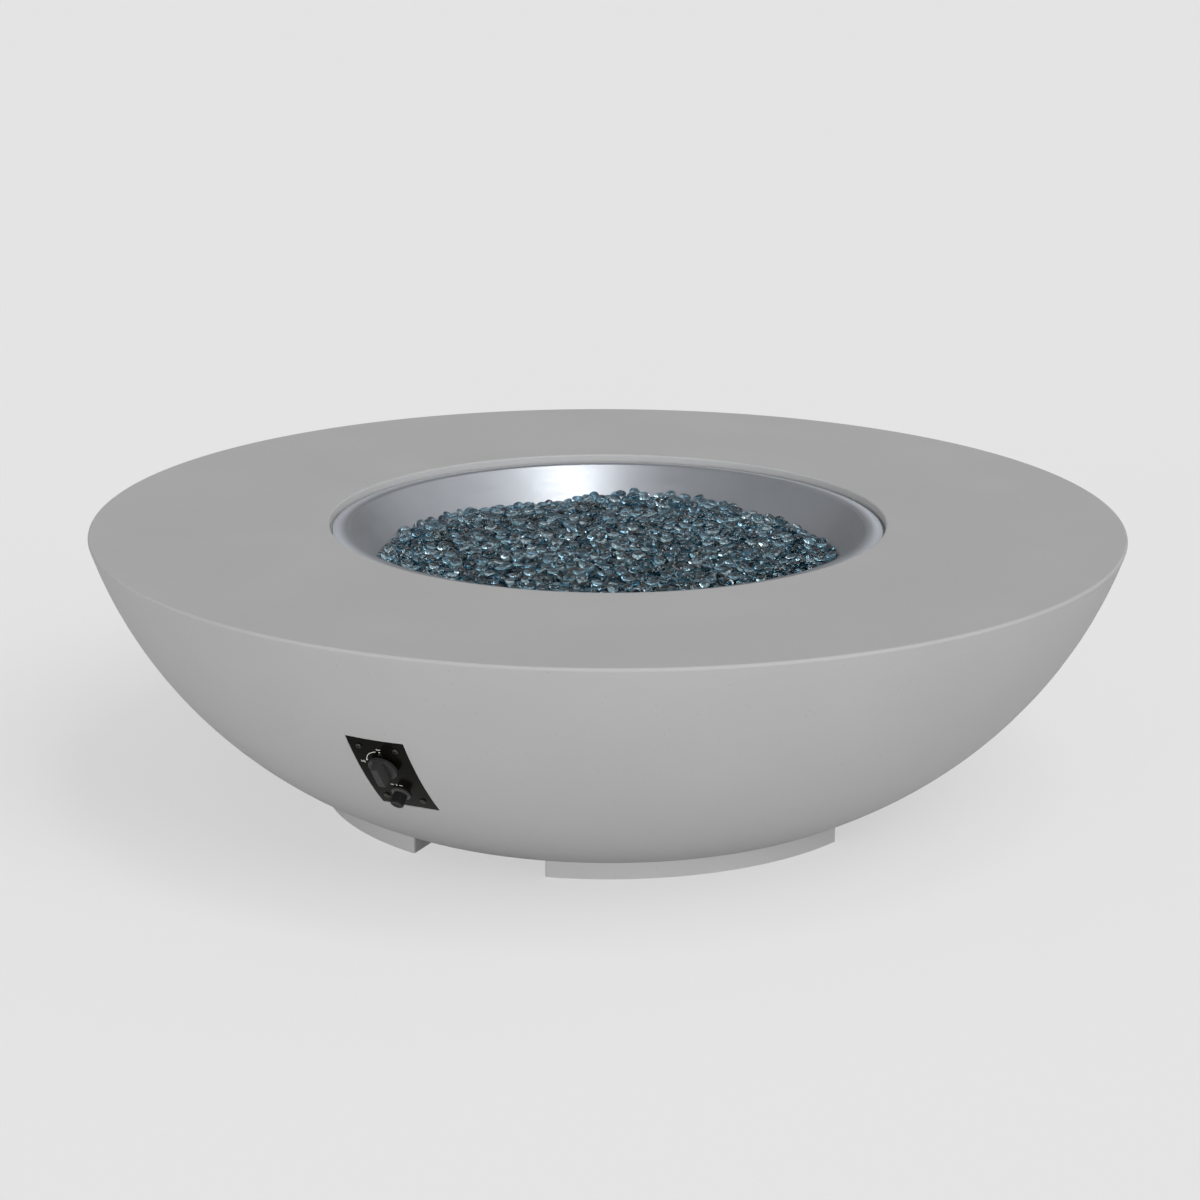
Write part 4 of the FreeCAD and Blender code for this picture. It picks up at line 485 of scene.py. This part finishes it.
class PebbleBed:
    """Pebbles dropped one by one on a height map of the pan, each on those below it."""

    CELL, HALF = 0.002, 0.36        # cell and half width of the height map
    DEPTH = 0.022                   # of the layer of pebbles
    WIDTHS = 0.0086, 0.0104         # least and most half width of a pebble
    BREADTHS = 0.88, 1.0            # the same for its second half axis, as shares of the first
    THICKNESSES = 0.42, 0.6         # and for its third
    LEAN = 0.85                     # spread of the pebbles' tilts, in radians
    TRIES = 7                       # places tried for a pebble, of which it takes one
    PATIENCE = 90                   # misses in a row that mean the bed is full
    PROUD, LUCK = 0.003, 0.004      # how far it may stand out, and how much further by chance
    WALL_GAP = 0.0004
    CAGE_GAP = 0.0005
    SWELLS = (      # bearing and reach of the middle, spread and height of each swell
        (97.0, 0.315, 0.075, 0.0080),
        (113.0, 0.320, 0.045, 0.0070),
        (140.0, 0.310, 0.085, -0.0035),
        (250.0, 0.150, 0.110, 0.0030),
        (330.0, 0.120, 0.090, -0.0025),
        (60.0, 0.120, 0.090, 0.0035),
        (270.0, 0.150, 0.040, 0.0040),      # covers the flame cage
    )

    def __init__(self, rng):
        self.rng = rng
        steps = int(2 * self.HALF / self.CELL) + 1
        line = np.linspace(-self.HALF, self.HALF, steps)
        self.x, self.y = np.meshgrid(line, line, indexing="ij")
        reach = np.hypot(self.x, self.y)
        bottom = self.surface(self.x, self.y) - self.DEPTH
        self.height = np.maximum(bottom, reach + PAN_WALL_OFFSET + self.WALL_GAP)
        cage = (np.abs(self.x) < CAGE_HALF_WIDTH) & (self.y > CAGE_FRONT) & (self.y < CAGE_BACK)
        self.height[cage] = np.maximum(self.height[cage], CAGE_TOP + self.CAGE_GAP)
        self.placed = []

    @classmethod
    def surface(cls, x, y):
        """Return the height the heap is filled to: a low dome with a few soft swells."""
        height = BED_EDGE_HEIGHT + BED_CROWN * (1 - (x ** 2 + y ** 2) / BED_EDGE_RADIUS ** 2)
        for bearing, reach, spread, rise in cls.SWELLS:
            turn = math.radians(bearing)
            away = (x - reach * math.cos(turn)) ** 2 + (y - reach * math.sin(turn)) ** 2
            height = height + rise * np.exp(-away / spread ** 2)
        return height

    def settle(self, spot, axes, turn):
        """Return the height at which a pebble comes to rest there, and its footprint."""
        form = turn @ np.diag(1 / np.square(axes)) @ turn.T
        span = float(max(axes))
        i0, j0 = (int(round((s + self.HALF) / self.CELL)) for s in spot)
        n = int(span / self.CELL) + 1
        rows, cols = slice(i0 - n, i0 + n + 1), slice(j0 - n, j0 + n + 1)
        dx, dy = self.x[rows, cols] - spot[0], self.y[rows, cols] - spot[1]
        b = form[0, 2] * dx + form[1, 2] * dy
        c = form[0, 0] * dx * dx + 2 * form[0, 1] * dx * dy + form[1, 1] * dy * dy - 1
        inside = b * b - form[2, 2] * c
        under = inside > 0
        root = np.sqrt(np.where(under, inside, 0))
        low, high = (-b - root) / form[2, 2], (-b + root) / form[2, 2]
        rest = float(np.max(np.where(under, self.height[rows, cols] - low, -1)))
        return rest, (rows, cols, under, high)

    def drop(self):
        """Try one pebble where it stands out least of a few places; return whether it stayed."""
        rng = self.rng
        width = rng.uniform(*self.WIDTHS)
        axes = np.array([width, width * rng.uniform(*self.BREADTHS),
                         width * rng.uniform(*self.THICKNESSES)])
        best = None
        for _ in range(self.TRIES):
            reach = BED_EDGE_RADIUS * math.sqrt(rng.uniform(0, 1))
            bearing = rng.uniform(0, 2 * math.pi)
            spot = (reach * math.cos(bearing), reach * math.sin(bearing))
            turn = random_turn(rng, abs(rng.normal(0, self.LEAN)))
            rest, footprint = self.settle(spot, axes, turn)
            top = rest + float(np.max(np.where(footprint[2], footprint[3], 0)))
            over = top - float(self.surface(*spot))
            if best is None or over < best[0]:
                best = (over, rest, footprint, spot, turn)
        over, rest, (rows, cols, under, high), spot, turn = best
        if over > self.PROUD + rng.uniform(0, self.LUCK):
            return False
        patch = self.height[rows, cols]
        patch[under] = np.maximum(patch[under], rest + high[under])
        self.placed.append((spot[0], spot[1], rest, axes, turn))
        return True

    def fill(self, most):
        """Drop pebbles until the bed is full or holds the most allowed."""
        misses = 0
        while len(self.placed) < most and misses < self.PATIENCE:
            misses = 0 if self.drop() else misses + 1


def make_pebbles(finish):
    """Fill the pan and return the pebbles, shared out over a few pieces."""
    seed, most, kinds, groups = 41, 5200, 24, 5
    rng = np.random.default_rng(seed)
    bed = PebbleBed(rng)
    bed.fill(most)
    points, faces = ball(rings=8, sides=12)
    forms = pebble_forms(rng, points, kinds)
    pieces = []
    for group in range(groups):
        vertices, tris = [], []
        for index, (x, y, z, axes, turn) in enumerate(bed.placed[group::groups]):
            form = forms[int(rng.integers(len(forms)))]
            vertices.append((form * axes) @ turn.T + np.array([x, y, z]))
            tris.append(faces + index * len(points))
        pieces.append(add_piece(f"glass_pebbles_{group + 1}", np.concatenate(vertices),
                                np.concatenate(tris), finish, "bed_glass"))
    return pieces


def gravel_top(x, y):
    """Return the height of the gravel, a little under the layer of pebbles."""
    return float(PebbleBed.surface(x, y)) - PebbleBed.DEPTH - 0.0025


def gravel_lump(reach, turn, ring):
    """Return an uneven ripple of up to 1.6 mm."""
    return 0.0016 * math.sin(reach * 210 + 3 * math.sin(turn * 5)) * math.sin(turn * 37 + ring)


def make_bed_core(finish):
    """The gravel under the pebbles: a lumpy lens that fills the pan's middle."""
    rings, sides, fading = 60, 160, 6       # the outer rings fade to the lens's edge
    wall_gap, thickness = 0.002, 0.001
    foot = BED_EDGE_HEIGHT - PebbleBed.DEPTH
    edge = foot - PAN_WALL_OFFSET - wall_gap
    vertices = [(0.0, 0.0, foot - thickness)]
    for ring in range(1, rings + 1):
        reach = edge * ring / rings
        for side in range(sides):
            turn = 2 * math.pi * side / sides
            x, y = reach * math.cos(turn), reach * math.sin(turn)
            fade = min(1.0, (rings - ring) / fading)
            top = gravel_top(x, y) + gravel_lump(reach, turn, ring)
            vertices.append((x, y, foot + (top - foot) * fade))
    vertices.append((0.0, 0.0, gravel_top(0.0, 0.0)))
    under, crown = 0, len(vertices) - 1
    outer = 1 + (rings - 1) * sides
    faces = []
    for side in range(sides):
        after = (side + 1) % sides
        faces.append((crown, 1 + side, 1 + after))
        faces.append((under, outer + after, outer + side))
        for ring in range(rings - 1):
            low, high = 1 + ring * sides, 1 + (ring + 1) * sides
            faces.append((low + side, high + side, high + after, low + after))
    return add_piece("bed_gravel", vertices, faces, finish, "bed_glass")


# ---------------------------------------------------------------- marks on the control plate

def prism(outline, drop, low=0.00002, high=0.00016):
    """Raise an outline of (across, up) points to a thin flat-topped shape on the plate."""
    count = len(outline)
    vertices = [on_panel(drop, x, y, low) for x, y in outline]
    vertices += [on_panel(drop, x, y, high) for x, y in outline]
    faces = [tuple(range(count, 2 * count)), tuple(reversed(range(count)))]
    faces += [(i, (i + 1) % count, count + (i + 1) % count, count + i) for i in range(count)]
    return vertices, faces


def polar(radius, turn):
    """Return the flat place at a radius and an angle in radians."""
    return radius * math.cos(turn), radius * math.sin(turn)


def arc_outline(radius, width, start, end, steps=28):
    """Outline of a curved band between two angles in degrees."""
    turns = [math.radians(start + (end - start) * (step / steps)) for step in range(steps + 1)]
    outer = [polar(radius + width / 2, turn) for turn in turns]
    inner = [polar(radius - width / 2, turn) for turn in turns]
    return outer + inner[::-1]


def print_shape(name, outline, drop, finish):
    """Print a flat shape on the plate."""
    add_piece(name, *prism(outline, drop), finish, "plate_black", smooth=False)


def word(text, size, across, up, drop, finish):
    """Lay a plain word on the plate, centred at a place."""
    half_depth, lift = 0.00007, 0.00009
    curve = bpy.data.curves.new("mark_" + text, "FONT")
    curve.body = text
    curve.size = size
    curve.align_x, curve.align_y = "CENTER", "CENTER"
    curve.extrude = half_depth
    holder = bpy.data.objects.new("mark_" + text, curve)
    bpy.context.scene.collection.objects.link(holder)
    graph = bpy.context.evaluated_depsgraph_get()
    mesh = bpy.data.meshes.new_from_object(holder.evaluated_get(graph))
    bpy.data.objects.remove(holder)
    vertices = [on_panel(drop, across + v.co.x, up + v.co.y, lift + v.co.z)
                for v in mesh.vertices]
    faces = [tuple(p.vertices) for p in mesh.polygons]
    bpy.data.meshes.remove(mesh)
    return add_piece("mark_" + text.lower(), vertices, faces, finish, "plate_black", smooth=False)


def make_knob_marks(finish):
    """Print an arc round the knob, from a dot under OFF to an arrow beside HI."""
    reach, band, arrow, dot = 0.0257, 0.0008, 0.0017, 0.0011
    arc_start, arc_end = 102, 166
    root, tip = math.radians(165), math.radians(173)
    dot_sides, dot_up = 20, reach - 0.0005
    print_shape("mark_turn_arc", arc_outline(reach, band, arc_start, arc_end), KNOB_DROP, finish)
    print_shape("mark_turn_arrow", [polar(reach, tip), polar(reach + arrow, root),
                                    polar(reach - arrow, root)], KNOB_DROP, finish)
    corners = (polar(dot, math.tau * k / dot_sides) for k in range(dot_sides))
    print_shape("mark_dot", [(x, dot_up + y) for x, y in corners], KNOB_DROP, finish)
    word("OFF", size=0.0040, across=0.0, up=0.0300, drop=KNOB_DROP, finish=finish)
    word("HI", size=0.0070, across=-0.0325, up=-0.0005, drop=KNOB_DROP, finish=finish)


def make_igniter_marks(finish):
    """Print a spark between two dashes above the igniter."""
    above, half_dash, dash_near, dash_far = 0.0197, 0.0006, 0.0042, 0.0092
    unit = 0.00066
    bolt = [(0.8, 4.2), (-2.2, -0.6), (-0.3, -0.6), (-0.8, -4.2), (2.2, 0.6), (0.3, 0.6)]
    print_shape("mark_spark", [(x * unit, above + y * unit) for x, y in bolt], IGNITER_DROP, finish)
    low, high = above - half_dash, above + half_dash
    for name, left, right in (("mark_dash_left", -dash_far, -dash_near),
                              ("mark_dash_right", dash_near, dash_far)):
        print_shape(name, [(left, low), (right, low), (right, high), (left, high)],
                    IGNITER_DROP, finish)


# ---------------------------------------------------------------- springs

def coil_mesh(drop, bottom, top, turns):
    """Return the points and faces of a coil of round wire between two depths behind the plate."""
    coil, wire, closed = 0.0056, 0.0005, 0.8        # two radii, and the flat turns at each end
    steps, sides = int(turns * 28), 10
    low, high = bottom + wire, top - wire
    points = []
    for step in range(steps + 1):
        share = step / steps
        rise = min(1.0, max(0.0, (share * turns - closed) / (turns - 2 * closed)))
        turn = 2 * math.pi * share * turns
        outward = Vector((math.cos(turn), math.sin(turn), 0.0))
        centre = coil * outward + Vector((0.0, 0.0, low + (high - low) * rise))
        for k in range(sides):
            x, z = polar(wire, 2 * math.pi * k / sides)
            points.append(on_axis(drop, centre + x * outward + Vector((0.0, 0.0, z))))
    faces = [tuple(reversed(range(sides))), tuple(range(steps * sides, (steps + 1) * sides))]
    for step in range(steps):
        for side in range(sides):
            a, b = step * sides + side, step * sides + (side + 1) % sides
            faces.append((a, b, b + sides, a + sides))
    return points, faces


def make_spring(node, drop, bottom, top, turns, body, finish):
    """Put a coil of round wire, riding the given body, in place of a rigid spring."""
    piece = add_piece(node + "_coil", *coil_mesh(drop, bottom, top, turns), finish,
                      "spring_steel", body)
    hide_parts(node)
    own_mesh(piece)


# ---------------------------------------------------------------- floor, lamps and world

def floor_paint():
    """Return pale paint that is clear from below.

    Camera, glossy and transmission rays see it mixed with a plain backdrop.
    """
    finish = Finish("floor_paint", color(PAINT_LEVEL), 0.9, Specular_IOR_Level=0.1)
    finish.bump(finish.noise(60.0), 0.0002, 0.1)
    rays = finish.node("ShaderNodeLightPath").outputs
    seen = finish.math("MAXIMUM", rays["Is Camera Ray"], finish.math(
        "MAXIMUM", rays["Is Glossy Ray"], rays["Is Transmission Ray"]))
    backdrop = finish.node("ShaderNodeEmission", {"Color": color(BACKDROP_LEVEL), "Strength": 1.0})
    above = finish.node("ShaderNodeMixShader", {
        0: finish.math("MULTIPLY", seen, BACKDROP_SHARE), 1: finish.shader.outputs[0],
        2: backdrop.outputs[0]})
    clear = finish.node("ShaderNodeBsdfTransparent")
    from_below = finish.node("ShaderNodeNewGeometry").outputs["Backfacing"]
    both = finish.node("ShaderNodeMixShader", {
        0: from_below, 1: above.outputs[0], 2: clear.outputs[0]})
    ending = finish.tree.nodes["Material Output"]
    finish.tree.links.new(both.outputs[0], ending.inputs["Surface"])
    return finish.material


def make_floor():
    """Pale studio floor with a faint shadow."""
    mesh = bpy.data.meshes.new("floor")
    corners = [(x, y, FLOOR_LEVEL) for x, y in (
        (-FLOOR_REACH, -FLOOR_REACH), (FLOOR_REACH, -FLOOR_REACH),
        (FLOOR_REACH, FLOOR_REACH), (-FLOOR_REACH, FLOOR_REACH))]
    mesh.from_pydata(corners, [], [(0, 1, 2, 3)])
    mesh.materials.append(floor_paint())
    floor = bpy.data.objects.new("floor", mesh)
    bpy.context.scene.collection.objects.link(floor)


def add_sun(name, azimuth, elevation, strength, spread):
    """A soft distant lamp, at an azimuth from the plate's side and a height above the horizon."""
    data = bpy.data.lights.new(name, "SUN")
    data.energy = strength
    data.angle = math.radians(spread)
    lamp = bpy.data.objects.new(name, data)
    bpy.context.scene.collection.objects.link(lamp)
    a, e = math.radians(azimuth), math.radians(elevation)
    back = Vector((math.sin(a) * math.cos(e), -math.cos(a) * math.cos(e), math.sin(e)))
    lamp.rotation_mode = "QUATERNION"
    lamp.rotation_quaternion = (-back).to_track_quat("-Z", "Y")


def make_world():
    """Even studio surroundings, about half as bright at the horizon as overhead."""
    world = bpy.data.worlds.new("studio")
    bpy.context.scene.world = world
    world.use_nodes = True
    tree = world.node_tree
    background = tree.nodes["Background"]
    coords = tree.nodes.new("ShaderNodeTexCoord")
    parts = tree.nodes.new("ShaderNodeSeparateXYZ")
    tree.links.new(coords.outputs["Generated"], parts.inputs[0])
    horizon, overhead, fade_end = 0.235, 0.435, 0.7
    level = tree.nodes.new("ShaderNodeMapRange")
    level.interpolation_type = "SMOOTHSTEP"
    for socket, value in (("From Min", 0.0), ("From Max", fade_end),
                          ("To Min", horizon), ("To Max", overhead)):
        level.inputs[socket].default_value = value
    tree.links.new(parts.outputs["Z"], level.inputs["Value"])
    tree.links.new(level.outputs["Result"], background.inputs["Strength"])
    background.inputs["Color"].default_value = (1, 1, 1, 1)


def make_lights():
    """The surroundings and six soft suns, three of them low round the front."""
    make_world()
    lamps = (       # name, azimuth, elevation, strength and spread
        ("ceiling_lamp", 66.0, 73.0, 0.36, 14.0),
        ("high_right_lamp", 68.0, 45.0, 1.30, 40.0),
        ("back_right_lamp", 141.0, 43.0, 0.14, 50.0),
        ("low_front_lamp", CAMERA_AZIMUTH, 13.0, 0.78, 25.0),
        ("low_right_lamp", 75.6, 15.0, 0.20, 25.0),
        ("low_left_lamp", -19.4, 4.0, 0.90, 20.0),
    )
    for lamp in lamps:
        add_sun(*lamp)


# ---------------------------------------------------------------- whole scene

def make_bed(finishes):
    """Put loose pebbles over gravel in place of the solid bed."""
    pieces = make_pebbles(finishes["bed_glass"])
    pieces.append(make_bed_core(gravel("bed_gravel")))
    for piece in pieces:
        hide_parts("glass_bed")


def make_springs(finish):
    """Both springs, the knob's standing in the turning plug."""
    make_spring("stem_spring", drop=KNOB_DROP, bottom=-0.0277,
                top=-0.01515, turns=5.2, body="plug", finish=finish)
    make_spring("igniter_spring", drop=IGNITER_DROP, bottom=-0.0273,
                top=-0.0123, turns=5.6, body="bowl", finish=finish)


def main():
    """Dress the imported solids, light them and set the camera."""
    make_camera()
    make_lights()
    make_floor()
    finishes = make_finishes()
    dress_nodes(finishes)
    make_bed(finishes)
    print_white = plastic("print_white", color(228, 228, 224), 0.5)
    make_knob_marks(print_white)
    make_igniter_marks(print_white)
    make_springs(finishes["spring_steel"])
    bpy.context.scene.view_settings.view_transform = "Standard"


main()
